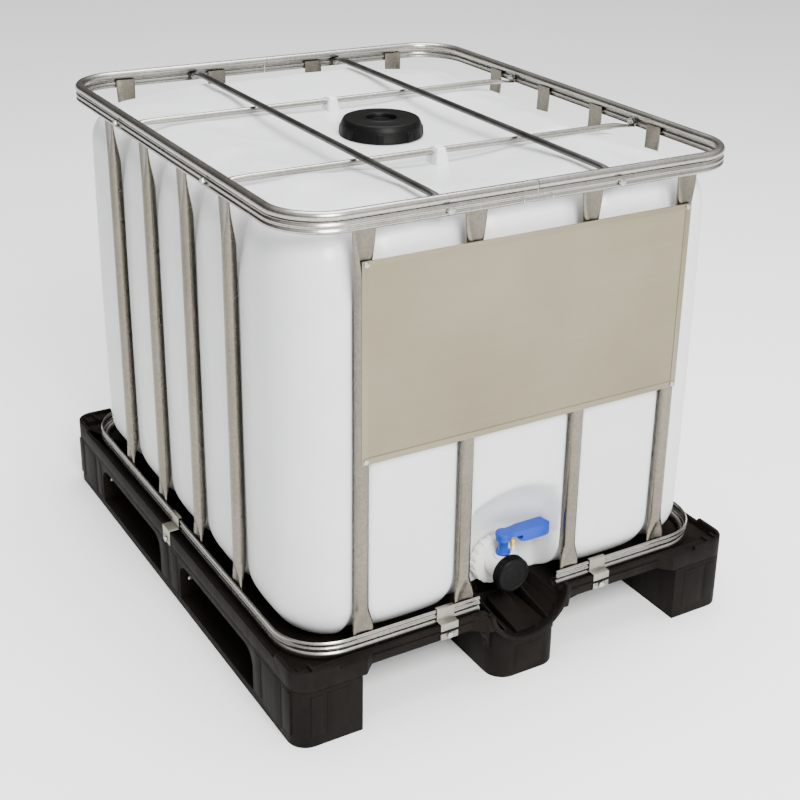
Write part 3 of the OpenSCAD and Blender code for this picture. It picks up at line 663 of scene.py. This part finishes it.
bar_steel, shader = plain_material("bar_steel")
shader.inputs["Metallic"].default_value = 1.0
spots = wired(bar_steel, "ShaderNodeTexCoord")
flow = wired(bar_steel, "ShaderNodeTexNoise", Scale=14, Detail=5, Roughness=0.6)
tone = ramp(bar_steel, (0.055, 0.055, 0.054, 1), (0.120, 0.119, 0.112, 1), 0.3, 0.75)
gloss = spread(bar_steel, 0.30, 0.50)
linked(bar_steel,
    (spots, "Object", flow, "Vector"),
    (flow, "Fac", tone, "Fac"),
    (tone, "Color", shader, "Base Color"),
    (flow, "Fac", gloss, "Value"),
    (gloss, "Result", shader, "Roughness"))


def cross_bar(name, node, middle, along, reach, height, finish):
    """A bar across the top: round, then flat, then bent down on the ring's web."""
    along = Vector(along)
    side = Vector((-along.y, along.x, 0))
    up = Vector((0, 0, 1))
    half = [
        (reach - 0.075, height, 0.0065, 0.0065, 1.0, 0),
        (reach - 0.052, height - 0.0004, 0.0068, 0.0060, 0.95, 0),
        (reach - 0.034, height - 0.0018, 0.0082, 0.0042, 0.75, 6),
        (reach - 0.020, height - 0.0040, 0.0096, 0.0026, 0.6, 14),
        (reach - 0.008, min(0.9680, height - 0.0050), 0.0100, 0.0020, 0.55, 40),
        (reach - 0.0030, min(0.9655, height - 0.0060), 0.0100, 0.0019, 0.55, 75),
        (reach - 0.0024, 0.9585, 0.0100, 0.0019, 0.55, 90),
        (reach - 0.0024, 0.9520, 0.0092, 0.0019, 0.55, 90),
    ]
    rows = []
    for sign in (-1, 1):
        part = []
        for far, z, wide, thick, square, tip in half:
            lean = math.radians(tip)
            out = up * math.cos(lean) + along * sign * math.sin(lean)
            centre = Vector((middle[0], middle[1], 0)) + along * sign * far + up * z
            part.append((centre, wide, thick, square, out))
        rows = list(reversed(part)) + rows if sign < 0 else rows + part
    made = formed_tube(name, rows, side, 24)
    made.data.materials.append(finish)
    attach(made, "root")
    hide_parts(node)


for side, word in ((-1, "left"), (1, "right")):
    cross_bar(
        "long_tie_" + word, "long_bar_" + word, (side * LONG_BAR_X, 0), (0, 1, 0), 0.555, 0.9725, bar_steel)
for side, word in ((-1, "front"), (1, "back")):
    cross_bar(
        "short_tie_" + word, "tie_bar_" + word, (0, side * SHORT_BAR_Y), (1, 0, 0), 0.474, 0.9565, galvanised)
hardware("bar_bolts", "bar_bolt_set", "root", 0.0009)
hardware("bar_nuts", "bar_nut_set", "root", 0.0006)

# Clips.
# Bent galvanised sheet hooked over the lower ring, each held to the pallet by a
# screw; the lower tab has two small dimples beside the screw.
clip_steel, shader = plain_material("clip_steel")
shader.inputs["Metallic"].default_value = 1.0
spots = wired(clip_steel, "ShaderNodeTexCoord")
flow = wired(clip_steel, "ShaderNodeTexNoise", Scale=38, Detail=5)
tone = ramp(clip_steel, (0.20, 0.195, 0.165, 1), (0.36, 0.35, 0.30, 1))
gloss = spread(clip_steel, 0.30, 0.50)
linked(clip_steel,
    (spots, "Object", flow, "Vector"),
    (flow, "Fac", tone, "Fac"),
    (tone, "Color", shader, "Base Color"),
    (flow, "Fac", gloss, "Value"),
    (gloss, "Result", shader, "Roughness"))
for place in ("front_left", "front_right", "left", "right", "back_left", "back_right"):
    node = "clip_" + place
    clip = cad_copy(node, node + "_sheet")
    rounded_edges(clip, 0.0005, 2, 30)
    low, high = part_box(node)
    middle = (low + high) / 2
    outward = Vector((0, math.copysign(1, middle.y), 0))
    if abs(middle.x) > 0.4:
        outward = Vector((math.copysign(1, middle.x), 0, 0))
    face = (low if outward.x + outward.y < 0 else high)
    aside = Vector((-outward.y, outward.x, 0))
    bumps = [clip]
    for shift in (-0.011, 0.011):
        spot = Vector((middle.x, middle.y, low.z + 0.012)) + aside * shift
        if abs(outward.y) > 0.5:
            spot.y = face.y
        else:
            spot.x = face.x
        bumps.append(round_head(spot, 0.0026, 1, 14, 8))
    clip = joined(node + "_sheet", bumps)
    clip.data.materials.clear()
    clip.data.materials.append(clip_steel)
    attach(clip, "root")
    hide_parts(node)
hardware("clip_screws", "clip_screw_set", "root", 0.0009)

# Front plate.
# Galvanised sheet with its four edges folded over, riveted to the outer tubes.
plate_steel, shader = plain_material("plate_steel")
shader.inputs["Metallic"].default_value = 0.9
spots = wired(plate_steel, "ShaderNodeTexCoord")
roll = wired(plate_steel, "ShaderNodeMapping")
roll.inputs["Scale"].default_value = (3, 3, 160)
brush = wired(plate_steel, "ShaderNodeTexNoise", Scale=1.0, Detail=5)
patch = wired(plate_steel, "ShaderNodeTexNoise", Scale=5, Detail=3)
grit = wired(plate_steel, "ShaderNodeTexNoise", Scale=650, Detail=2)
blend = wired(plate_steel, "ShaderNodeMix", data_type="FLOAT")
blend.inputs["Factor"].default_value = 0.35
tone = ramp(plate_steel, (0.225, 0.198, 0.134, 1), (0.300, 0.268, 0.192, 1), 0.25, 0.8)
gloss = spread(plate_steel, 0.42, 0.58)
fine = wired(plate_steel, "ShaderNodeBump", Strength=0.08, Distance=0.0003)
linked(plate_steel,
    (spots, "Object", roll, "Vector"),
    (roll, "Vector", brush, "Vector"),
    (spots, "Object", patch, "Vector"),
    (spots, "Object", grit, "Vector"),
    (patch, "Fac", blend, "A"),
    (brush, "Fac", blend, "B"),
    (blend, "Result", tone, "Fac"),
    (tone, "Color", shader, "Base Color"),
    (brush, "Fac", gloss, "Value"),
    (gloss, "Result", shader, "Roughness"),
    (grit, "Fac", fine, "Height"),
    (fine, "Normal", shader, "Normal"))
plate = cad_copy("front_plate", "front_plate_sheet")
rounded_edges(plate, 0.0006, 3, 30)
plate.data.materials.append(plate_steel)
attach(plate, "root")
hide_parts("front_plate")
hardware("plate_rivets", "plate_rivet_set", "root", 0.0008)

# Bottle.
# One blow-moulded skin of natural white polyethylene. The cage tubes lie in
# upright grooves, the bays between them bulge, the top is creased and domed
# round the neck, and a deep hollow in the front makes room for the valve.
BOTTLE_X = 0.4600
BOTTLE_Y = 0.5450
BOTTLE_R = 0.125
BOTTLE_FOOT = 0.1385
FOOT_ROUND = 0.078
SIDE_TOP = 0.868
SHOULDER = 0.062
BRIM_GROOVE = 0.38
NECK_R = 0.074
NECK_RIM = 0.961
NECK_BORE_R = 0.068
HOLLOW_R = 0.250
HOLLOW_Y = -0.698
HOLLOW_Z = 0.184
TOP_Z = 0.932
UNDER_BAR_Z = 0.9440
ACROSS = 520
UPWARD = 118
tube_spots = [(x, y) for x in FRONT_SPOTS for y in (-FRONT_TUBE_Y, FRONT_TUBE_Y)]
tube_spots += [(x, y) for y in reversed(SIDE_SPOTS) for x in (-SIDE_TUBE_X, SIDE_TUBE_X)]


def outline(distance):
    """Point and outward normal on the bottle's plan at a distance along it."""
    flat_x = 2 * (BOTTLE_X - BOTTLE_R)
    flat_y = 2 * (BOTTLE_Y - BOTTLE_R)
    arc = math.pi / 2 * BOTTLE_R
    left = distance
    for side in range(4):
        length = flat_x if side % 2 == 0 else flat_y
        out = Vector((0, -1)) if side == 0 else Vector((1, 0)) if side == 1 else Vector((0, 1))
        out = Vector((-1, 0)) if side == 3 else out
        along = Vector((-out.y, out.x))
        reach = BOTTLE_Y if side % 2 == 0 else BOTTLE_X
        if left <= length:
            return out * reach + along * (left - length / 2), out
        left -= length
        if left <= arc:
            a = left / BOTTLE_R
            bend = out * reach + along * (length / 2) - out * BOTTLE_R
            normal = out * math.cos(a) + along * math.sin(a)
            return bend + normal * BOTTLE_R, normal
        left -= arc
    return outline(0.0)


def plan_points(count):
    """Stations round the plan, closer together in the tube grooves."""
    whole = 4 * (BOTTLE_X + BOTTLE_Y) - (8 - 2 * math.pi) * BOTTLE_R
    fine = 4000
    total = [0.0]
    for i in range(fine):
        point, _ = outline(whole * (i + 0.5) / fine)
        near = min((point - Vector(t)).length for t in tube_spots)
        total.append(total[-1] + 1 + 3.2 * math.exp(-((near / 0.030) ** 2)))
    spots, j = [], 0
    for i in range(count):
        want = total[-1] * i / (count - 1)
        while j < fine - 1 and total[j + 1] < want:
            j += 1
        share = (want - total[j]) / (total[j + 1] - total[j])
        spots.append(whole * (j + share) / fine)
    return spots


def beside(point, normal):
    """Distance along the wall to the nearest tube."""
    along = Vector((-normal.y, normal.x))
    near = 0.5
    for spot in tube_spots:
        off = point - Vector(spot)
        if off.length < 0.2 and normal.dot(Vector(spot).normalized()) > 0:
            near = min(near, abs(off.dot(along)))
    return near


def groove(near, height):
    """How far the wall stands back; the grooves flare at the foot and shoulder."""
    flare = 0.020 * (1 - eased(0.142, 0.225, height)) + 0.030 * eased(0.80, 0.93, height)
    width = 0.0155 + flare
    cut = 0.0125 * math.exp(-((near / width) ** 4))
    wide = 0.0040 * math.exp(-((near / 0.046) ** 2))
    return cut + wide + flare * 0.30 * math.exp(-((near / (width + 0.010)) ** 2))


def soft_least(values, blur):
    """The least of the values, with the crease between them rounded."""
    low = min(values)
    return low - blur * math.log(sum(math.exp((low - v) / blur) for v in values))


def top_height(x, y):
    """Height of the top panel: a flat middle, sloping bays and folded corners."""
    ax, ay = abs(x), abs(y)
    spread = math.hypot(x / 0.37, y / 0.44)
    lean = 0.010 * math.sin(9 * x + 2.0) * math.sin(7 * y + 0.6)
    planes = [
        TOP_Z + 0.0025 + 0.024 * eased(0.42, 1.06, spread) + lean * 0.35,
        0.9570 - 0.150 * (0.72 * ax + 0.69 * ay - 0.490) - lean * 0.5,
        0.9575 - 0.330 * (0.80 * ax + 0.60 * ay - 0.565),
        0.9550 - 0.210 * (ax - 0.330) + lean * 0.4,
    ]
    height = soft_least(planes, 0.0010)
    for bar_y in (-SHORT_BAR_Y, SHORT_BAR_Y):
        sunk = math.exp(-(((y - bar_y) / 0.020) ** 2))
        height -= sunk * max(0.0, height - UNDER_BAR_Z)
    fold = noise.noise(Vector((x * 4.6 + 3.7, y * 4.1 - 1.9, 0.3)))
    pleat = noise.noise(Vector((x * 9.0 - 1.2, y * 7.5 + 2.2, 1.3)))
    apart = eased(0.12, 0.26, math.hypot(x, y)) * (1 - math.exp(-(((ay - SHORT_BAR_Y) / 0.03) ** 2)))
    height += (0.0085 * (abs(fold) - 0.24) - 0.0035 * abs(pleat)) * apart
    seam = math.exp(-((x / 0.0022) ** 2)) * eased(0.10, 0.13, ay)
    return height + 0.0010 * seam


def into_hollow(place):
    """Moves a front-wall point back onto the hollow behind the valve."""
    x, y, z = place
    inside = 1 - eased(0.094, 0.108, abs(x))
    square = HOLLOW_R**2 - x * x - (z - HOLLOW_Z) ** 2
    if y > -0.35 or square <= 0 or inside <= 0:
        return place
    back = HOLLOW_Y + math.sqrt(square)
    blur = 0.0035
    deeper = max(y, back) + blur * math.log1p(math.exp(-abs(y - back) / blur)) - blur * 0.02
    return Vector((x, y + (deeper - y) * inside if deeper > y else y, z))


bpy.ops.mesh.primitive_grid_add(x_subdivisions=ACROSS - 1, y_subdivisions=UPWARD - 1, size=1)
bottle = bpy.context.object
bottle.name = "bottle_skin"
stations = plan_points(ACROSS)
walls = [outline(s) for s in stations]
nears = [beside(p, n) for p, n in walls]
FOOT_ROWS, SIDE_ROWS, SHOULDER_ROWS, TOP_ROWS = 16, 50, 14, 30
for vert in bottle.data.vertices:
    column = min(ACROSS - 1, max(0, round((vert.co.x + 0.5) * (ACROSS - 1))))
    row = min(UPWARD - 1, max(0, round((vert.co.y + 0.5) * (UPWARD - 1))))
    point, normal = walls[column]
    near = nears[column]
    side_row = min(SIDE_ROWS, max(0, row - FOOT_ROWS))
    height = BOTTLE_FOOT + FOOT_ROUND * min(1, row / FOOT_ROWS) ** 2
    height += 0.650 * side_row / SIDE_ROWS
    height += 0.060 * min(1, max(0, row - FOOT_ROWS - SIDE_ROWS) / SHOULDER_ROWS)
    depth = groove(near, height)
    base = point - normal * depth
    if row < 4:
        flat = row / 4
        edge = base - normal * FOOT_ROUND
        place = Vector((edge.x * flat, edge.y * flat, BOTTLE_FOOT))
    elif row < FOOT_ROWS:
        a = math.pi / 2 * (row - 4) / (FOOT_ROWS - 4)
        at = base - normal * FOOT_ROUND * (1 - math.sin(a))
        place = Vector((at.x, at.y, BOTTLE_FOOT + FOOT_ROUND * (1 - math.cos(a))))
    elif row < FOOT_ROWS + SIDE_ROWS:
        t = (row - FOOT_ROWS) / SIDE_ROWS
        low = BOTTLE_FOOT + FOOT_ROUND
        z = low + (SIDE_TOP - low) * t
        swell = 0.0020 * math.sin(math.pi * t) * max(0.0, 1 - depth / 0.017)
        at = base + normal * swell
        place = Vector((at.x, at.y, z))
    elif row < FOOT_ROWS + SIDE_ROWS + SHOULDER_ROWS:
        t = (row - FOOT_ROWS - SIDE_ROWS) / SHOULDER_ROWS
        a = math.pi / 2 * t
        keep = 1 - (1 - BRIM_GROOVE) * t
        at = point - normal * (depth * keep + SHOULDER * (1 - math.cos(a)))
        brim = point - normal * (depth * BRIM_GROOVE + SHOULDER)
        rise = top_height(brim.x, brim.y) - SIDE_TOP
        place = Vector((at.x, at.y, SIDE_TOP + rise * math.sin(a)))
    elif row < FOOT_ROWS + SIDE_ROWS + SHOULDER_ROWS + TOP_ROWS:
        t = (row - FOOT_ROWS - SIDE_ROWS - SHOULDER_ROWS) / (TOP_ROWS - 1)
        brim = point - normal * (depth * BRIM_GROOVE * (1 - t) + SHOULDER)
        inner = point.normalized() * (NECK_R + 0.006)
        at = brim.lerp(inner, t)
        place = Vector((at.x, at.y, top_height(at.x, at.y)))
    else:
        step = row - FOOT_ROWS - SIDE_ROWS - SHOULDER_ROWS - TOP_ROWS
        radius, z = [
            (NECK_R + 0.002, 0.9335), (NECK_R, 0.937), (NECK_R, 0.9595),
            (NECK_R - 0.0008, NECK_RIM), (NECK_BORE_R + 0.001, NECK_RIM),
            (NECK_BORE_R, 0.9595), (NECK_BORE_R, 0.905), (0.0, 0.905)][min(step, 7)]
        at = point.normalized() * radius
        place = Vector((at.x, at.y, z))
    vert.co = into_hollow(place)
bpy.ops.object.mode_set(mode="EDIT")
bpy.ops.mesh.select_all(action="SELECT")
bpy.ops.mesh.remove_doubles(threshold=0.00002)
bpy.ops.mesh.normals_make_consistent(inside=False)
bpy.ops.object.mode_set(mode="OBJECT")
bpy.ops.object.shade_smooth_by_angle(angle=math.radians(50))

bottle_plastic, shader = plain_material("bottle_plastic")
shader.inputs["Roughness"].default_value = 0.33
shader.inputs["IOR"].default_value = 1.5
shader.inputs["Subsurface Weight"].default_value = 0.25
shader.inputs["Subsurface Radius"].default_value = (0.03, 0.03, 0.03)
shader.inputs["Subsurface Scale"].default_value = 0.5
spots = wired(bottle_plastic, "ShaderNodeTexCoord")
waves = wired(bottle_plastic, "ShaderNodeTexNoise", Scale=11, Detail=3)
grain = wired(bottle_plastic, "ShaderNodeTexNoise", Scale=420, Detail=2)
linked(bottle_plastic,
    (spots, "Object", waves, "Vector"),
    (spots, "Object", grain, "Vector"))
broad = wired(bottle_plastic, "ShaderNodeBump", Strength=0.25, Distance=0.006)
fine = wired(bottle_plastic, "ShaderNodeBump", Strength=0.12, Distance=0.0006)
linked(bottle_plastic,
    (waves, "Fac", broad, "Height"),
    (grain, "Fac", fine, "Height"),
    (broad, "Normal", fine, "Normal"),
    (fine, "Normal", shader, "Normal"))
tint = ramp(bottle_plastic, (0.60, 0.612, 0.618, 1), (0.70, 0.708, 0.708, 1))
linked(bottle_plastic,
    (waves, "Fac", tint, "Fac"),
    (tint, "Color", shader, "Base Color"))
bottle.data.materials.append(bottle_plastic)
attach(bottle, "root")
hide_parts("bottle_ends", "bottle_sides", "bottle_base", "bottle_top_panel", "bottle_neck")

# Lugs on the seam.
# Two lumps moulded with the bottle, pinched round the short cross bars.
lugs = []
for side in (-1, 1):
    lug = block("lug", (-15, side * 222 - 17, 926), (15, side * 222 + 17, 966))
    bpy.ops.object.mode_set(mode="EDIT")
    bpy.ops.mesh.select_all(action="SELECT")
    bpy.ops.mesh.subdivide(number_cuts=3)
    bpy.ops.object.mode_set(mode="OBJECT")
    for vert in lug.data.vertices:
        up = (vert.co.z - 0.926) / 0.040
        pinch = 1 - 0.42 * up ** 1.5
        vert.co.x *= pinch * (1 + 0.12 * math.sin(vert.co.y * 330))
        vert.co.y = side * 0.222 + (vert.co.y - side * 0.222) * (1.35 - 0.55 * up)
        vert.co.z += 0.003 * math.sin(vert.co.y * 420 + vert.co.x * 90) * up
    bpy.ops.object.modifier_add(type="SUBSURF")
    lug.modifiers[-1].levels = 2
    lug.modifiers[-1].render_levels = 2
    bpy.ops.object.modifier_apply(modifier=lug.modifiers[-1].name)
    bpy.ops.object.shade_smooth()
    lugs.append(lug)
lug_set = joined("seam_lugs", lugs)
lug_set.data.materials.append(bottle_plastic)
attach(lug_set, "root")

# Lid.
# Black moulded screw cap, 172 wide, with gripping lugs on its skirt and a
# ringed recess in the top. A flat ring gasket sits under its roof.
LID_LOW = 0.936


def turned(name, profile, centre, axis="Z", points=96):
    """A solid of revolution: profile pairs are (radius, height) in millimetres."""

    def place(column, row):
        radius, height = profile[row][0] / 1000, profile[row][1] / 1000
        a = 2 * math.pi * column / points
        if axis == "Z":
            return Vector(centre) + Vector((radius * math.cos(a), radius * math.sin(a), height))
        return Vector(centre) + Vector((radius * math.cos(a), -height, radius * math.sin(a)))

    made = wrapped_sheet(name, points + 1, len(profile), place)
    bpy.ops.object.shade_smooth_by_angle(angle=math.radians(38))
    return made


cap_plastic, shader = plain_material("cap_plastic")
shader.inputs["Specular IOR Level"].default_value = 0.10
spots = wired(cap_plastic, "ShaderNodeTexCoord")
cloud = wired(cap_plastic, "ShaderNodeTexNoise", Scale=45, Detail=5)
grit = wired(cap_plastic, "ShaderNodeTexNoise", Scale=900, Detail=2)
tone = ramp(cap_plastic, (0.0012, 0.0012, 0.0013, 1), (0.0034, 0.0033, 0.0032, 1))
gloss = spread(cap_plastic, 0.34, 0.54)
fine = wired(cap_plastic, "ShaderNodeBump", Strength=0.15, Distance=0.0004)
linked(cap_plastic,
    (spots, "Object", cloud, "Vector"),
    (spots, "Object", grit, "Vector"),
    (cloud, "Fac", tone, "Fac"),
    (tone, "Color", shader, "Base Color"),
    (cloud, "Fac", gloss, "Value"),
    (gloss, "Result", shader, "Roughness"),
    (grit, "Fac", fine, "Height"),
    (fine, "Normal", shader, "Normal"))

lid_line = [
    (0, 22), (32, 22), (35, 24), (37, 28), (74.9, 28), (75, 27.6), (75, 1), (75.6, 0), (85, 0),
    (85.8, 0.8), (85.8, 2.6), (85, 4.2), (83.2, 22), (82.2, 24.6), (79, 31.2), (77.4, 33.6),
    (75, 34.8), (73, 35), (40, 34.6), (38.6, 35.2), (37.6, 36), (33.4, 36), (32.2, 35.2),
    (31, 33), (30.6, 26.4), (29.6, 25.6), (0, 25.4)]
lid = turned("filling_lid", lid_line, (0, 0, LID_LOW))
grips = [lid]
for i in range(8):
    grip = block("grip", (80.5, -7, 1.0), (86.6, 7, 20.5))
    for vert in grip.data.vertices:
        vert.co.z += LID_LOW
        if vert.co.z > LID_LOW + 0.01:
            vert.co.x -= 0.0016
    rounded_edges(grip, 0.0016, 3)
    bpy.ops.transform.rotate(
        value=-math.radians(i * 45 + 14), orient_axis="Z", center_override=(0, 0, 0))
    bpy.ops.object.transform_apply(location=True, rotation=True, scale=True)
    grips.append(grip)
lid = joined("filling_lid", grips)
lid.data.materials.append(cap_plastic)
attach(lid, "lid_cap")
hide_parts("lid")

seal_rubber, shader = plain_material("seal_rubber")
shader.inputs["Roughness"].default_value = 0.7
spots = wired(seal_rubber, "ShaderNodeTexCoord")
cloud = wired(seal_rubber, "ShaderNodeTexNoise", Scale=120, Detail=4)
tone = ramp(seal_rubber, (0.010, 0.010, 0.010, 1), (0.024, 0.023, 0.022, 1))
linked(seal_rubber,
    (spots, "Object", cloud, "Vector"),
    (cloud, "Fac", tone, "Fac"),
    (tone, "Color", shader, "Base Color"))


def seal(node, name, body):
    made = cad_copy(node, name)
    rounded_edges(made, 0.0006, 2)
    made.data.materials.append(seal_rubber)
    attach(made, body)
    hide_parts(node)


seal("lid_gasket", "lid_seal_ring", "lid_seal")

# Outlet valve.
# A moulded ball valve held on the bottle's boss by a ribbed union nut. A blue
# stem and lever turn the ball, and a black ribbed cap closes the mouth.
VALVE_Z = 0.184
STEM_Y = -0.500

valve_plastic, shader = plain_material("valve_plastic")
shader.inputs["Roughness"].default_value = 0.42
spots = wired(valve_plastic, "ShaderNodeTexCoord")
cloud = wired(valve_plastic, "ShaderNodeTexNoise", Scale=30, Detail=4)
grit = wired(valve_plastic, "ShaderNodeTexNoise", Scale=800, Detail=2)
tone = ramp(valve_plastic, (0.66, 0.65, 0.61, 1), (0.78, 0.775, 0.74, 1))
fine = wired(valve_plastic, "ShaderNodeBump", Strength=0.12, Distance=0.0004)
linked(valve_plastic,
    (spots, "Object", cloud, "Vector"),
    (spots, "Object", grit, "Vector"),
    (cloud, "Fac", tone, "Fac"),
    (tone, "Color", shader, "Base Color"),
    (grit, "Fac", fine, "Height"),
    (fine, "Normal", shader, "Normal"))
for node, name, body, width in (
    ("valve_nut", "union_nut", "root", 0.0012), ("valve_body", "valve_housing", "root", 0.0016),
    ("ball_seats", "ball_seat", "root", 0.0005), ("ball", "valve_ball", "valve_lever", 0.0006)):
    part = cad_copy(node, name)
    rounded_edges(part, width, 2, 45)
    part.data.materials.append(valve_plastic)
    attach(part, body)
    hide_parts(node)
seal("valve_gasket", "boss_seal", "root")
seal("cap_gasket", "cap_seal_ring", "cap_seal")

# Lever and stem.
# Blue polypropylene: a collared stem, a round hub with a flat snap-in cover over
# its screw, and a thick level grip with a rounded tip and a slot near the hub.
lever_plastic, shader = plain_material("lever_plastic")
shader.inputs["Specular IOR Level"].default_value = 0.35
spots = wired(lever_plastic, "ShaderNodeTexCoord")
cloud = wired(lever_plastic, "ShaderNodeTexNoise", Scale=55, Detail=4)
grit = wired(lever_plastic, "ShaderNodeTexNoise", Scale=900, Detail=2)
tone = ramp(lever_plastic, (0.000, 0.026, 0.270, 1), (0.000, 0.048, 0.400, 1))
gloss = spread(lever_plastic, 0.32, 0.46)
fine = wired(lever_plastic, "ShaderNodeBump", Strength=0.12, Distance=0.0004)
linked(lever_plastic,
    (spots, "Object", cloud, "Vector"),
    (spots, "Object", grit, "Vector"),
    (cloud, "Fac", tone, "Fac"),
    (tone, "Color", shader, "Base Color"),
    (cloud, "Fac", gloss, "Value"),
    (gloss, "Result", shader, "Roughness"),
    (grit, "Fac", fine, "Height"),
    (fine, "Normal", shader, "Normal"))

stem_line = [
    (0, 14.4), (8.9, 14.4), (8.9, 30.6), (14.4, 30.6), (15, 31.4), (15, 35.2), (13.6, 36.8),
    (10.6, 37.6), (9.9, 39), (9.9, 53), (10.8, 55.6), (11.0, 59.8), (0, 59.8)]
stem = turned("valve_stem", stem_line, (0, STEM_Y, VALVE_Z), points=48)
stem.data.materials.append(lever_plastic)
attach(stem, "valve_lever")
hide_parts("stem")

hub_line = [
    (0, 60.1), (14.6, 60.1), (15.6, 61), (15.8, 66), (15, 67.2), (15, 68.4), (16.6, 69.4),
    (17, 70.6), (17, 75.6), (15.8, 77.4), (13.4, 78), (0, 78)]
hub = turned("lever_hub", hub_line, (0, STEM_Y, VALVE_Z), points=60)
grip = block("lever_grip", (8, -516, 236), (104, -484, 262))
bpy.ops.object.mode_set(mode="EDIT")
bpy.ops.mesh.select_all(action="SELECT")
bpy.ops.mesh.subdivide(number_cuts=11)
bpy.ops.object.mode_set(mode="OBJECT")
for vert in grip.data.vertices:
    t = (vert.co.x - 0.008) / 0.096
    half = 0.0125 + 0.0035 * eased(0.10, 0.34, t)
    past = max(0.0, vert.co.x - 0.0905)
    half = min(half, math.sqrt(max(0.006**2, 0.016**2 - past**2)))
    floor_z = 0.2365 + 0.0165 * (1 - eased(0.10, 0.30, t)) + 0.0015 * eased(0.8, 1.0, t)
    share = (vert.co.z - 0.236) / 0.026
    vert.co.y = STEM_Y + (vert.co.y - STEM_Y) / 0.016 * half
    vert.co.z = floor_z + (0.2618 - floor_z) * share
bpy.ops.object.modifier_add(type="BEVEL")
grip.modifiers[-1].width = 0.0052
grip.modifiers[-1].segments = 4
grip.modifiers[-1].limit_method = "ANGLE"
grip.modifiers[-1].angle_limit = math.radians(45)
bpy.ops.object.modifier_apply(modifier=grip.modifiers[-1].name)
slot_cutter = block("slot_cutter", (24, -524, 244.5), (35, -508, 251.5))
bpy.context.view_layer.objects.active = grip
bpy.ops.object.modifier_add(type="BOOLEAN")
grip.modifiers[-1].operation = "DIFFERENCE"
grip.modifiers[-1].object = slot_cutter
bpy.ops.object.modifier_apply(modifier=grip.modifiers[-1].name)
bpy.data.objects.remove(slot_cutter)
lever = joined("lever_moulding", [hub, grip])
bpy.ops.object.shade_smooth_by_angle(angle=math.radians(40))
lever.data.materials.append(lever_plastic)
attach(lever, "valve_lever")
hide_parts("lever")
hardware("lever_screw", "lever_fixing", "valve_lever", 0.0008)

# Stop beside the stem: a yellow snap-in tab on a cream post.
post = block("stop_post", (18.5, -504.5, 200.5), (24, -496, 227))
rounded_edges(post, 0.0012, 3)
post.data.materials.append(valve_plastic)
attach(post, "root")
stop_plastic, shader = plain_material("stop_plastic")
shader.inputs["Roughness"].default_value = 0.4
spots = wired(stop_plastic, "ShaderNodeTexCoord")
cloud = wired(stop_plastic, "ShaderNodeTexNoise", Scale=90, Detail=3)
tone = ramp(stop_plastic, (0.80, 0.44, 0.006, 1), (0.92, 0.58, 0.020, 1))
linked(stop_plastic,
    (spots, "Object", cloud, "Vector"),
    (cloud, "Fac", tone, "Fac"),
    (tone, "Color", shader, "Base Color"))
tab = block("stop_tab", (17.8, -505.2, 226), (24.2, -495.4, 240))
rounded_edges(tab, 0.0020, 3)
tab.data.materials.append(stop_plastic)
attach(tab, "root")
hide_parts("lever_stop")

# Outlet cap with a fine ribbed skirt, a rolled rim and a slightly dished face.
cap_line = [
    (0, 17), (31, 17), (31, 0.6), (31.6, 0), (35.4, 0), (36, 0.6), (36, 16.6), (35.2, 19.4),
    (33.4, 21.2), (31.2, 21.8), (29.4, 21.4), (28.6, 20.4), (20, 20.0), (19.4, 20.5),
    (14, 20.5), (13.4, 20.0), (0, 20.0)]
cap = turned("outlet_cap_shell", cap_line, (0, -0.520, VALVE_Z), axis="Y", points=96)
ribs = [cap]
for i in range(60):
    rib = block("rib", (35.2, -537.2, VALVE_Z * 1000 - 0.9), (37.0, -521.5, VALVE_Z * 1000 + 0.9))
    bpy.ops.transform.rotate(
        value=math.radians(i * 6), orient_axis="Y", center_override=(0, 0, VALVE_Z))
    bpy.ops.object.transform_apply(location=True, rotation=True, scale=True)
    ribs.append(rib)
cap = joined("outlet_cap_shell", ribs)
cap.data.materials.append(cap_plastic)
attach(cap, "outlet_screw_cap")
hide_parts("outlet_cap")
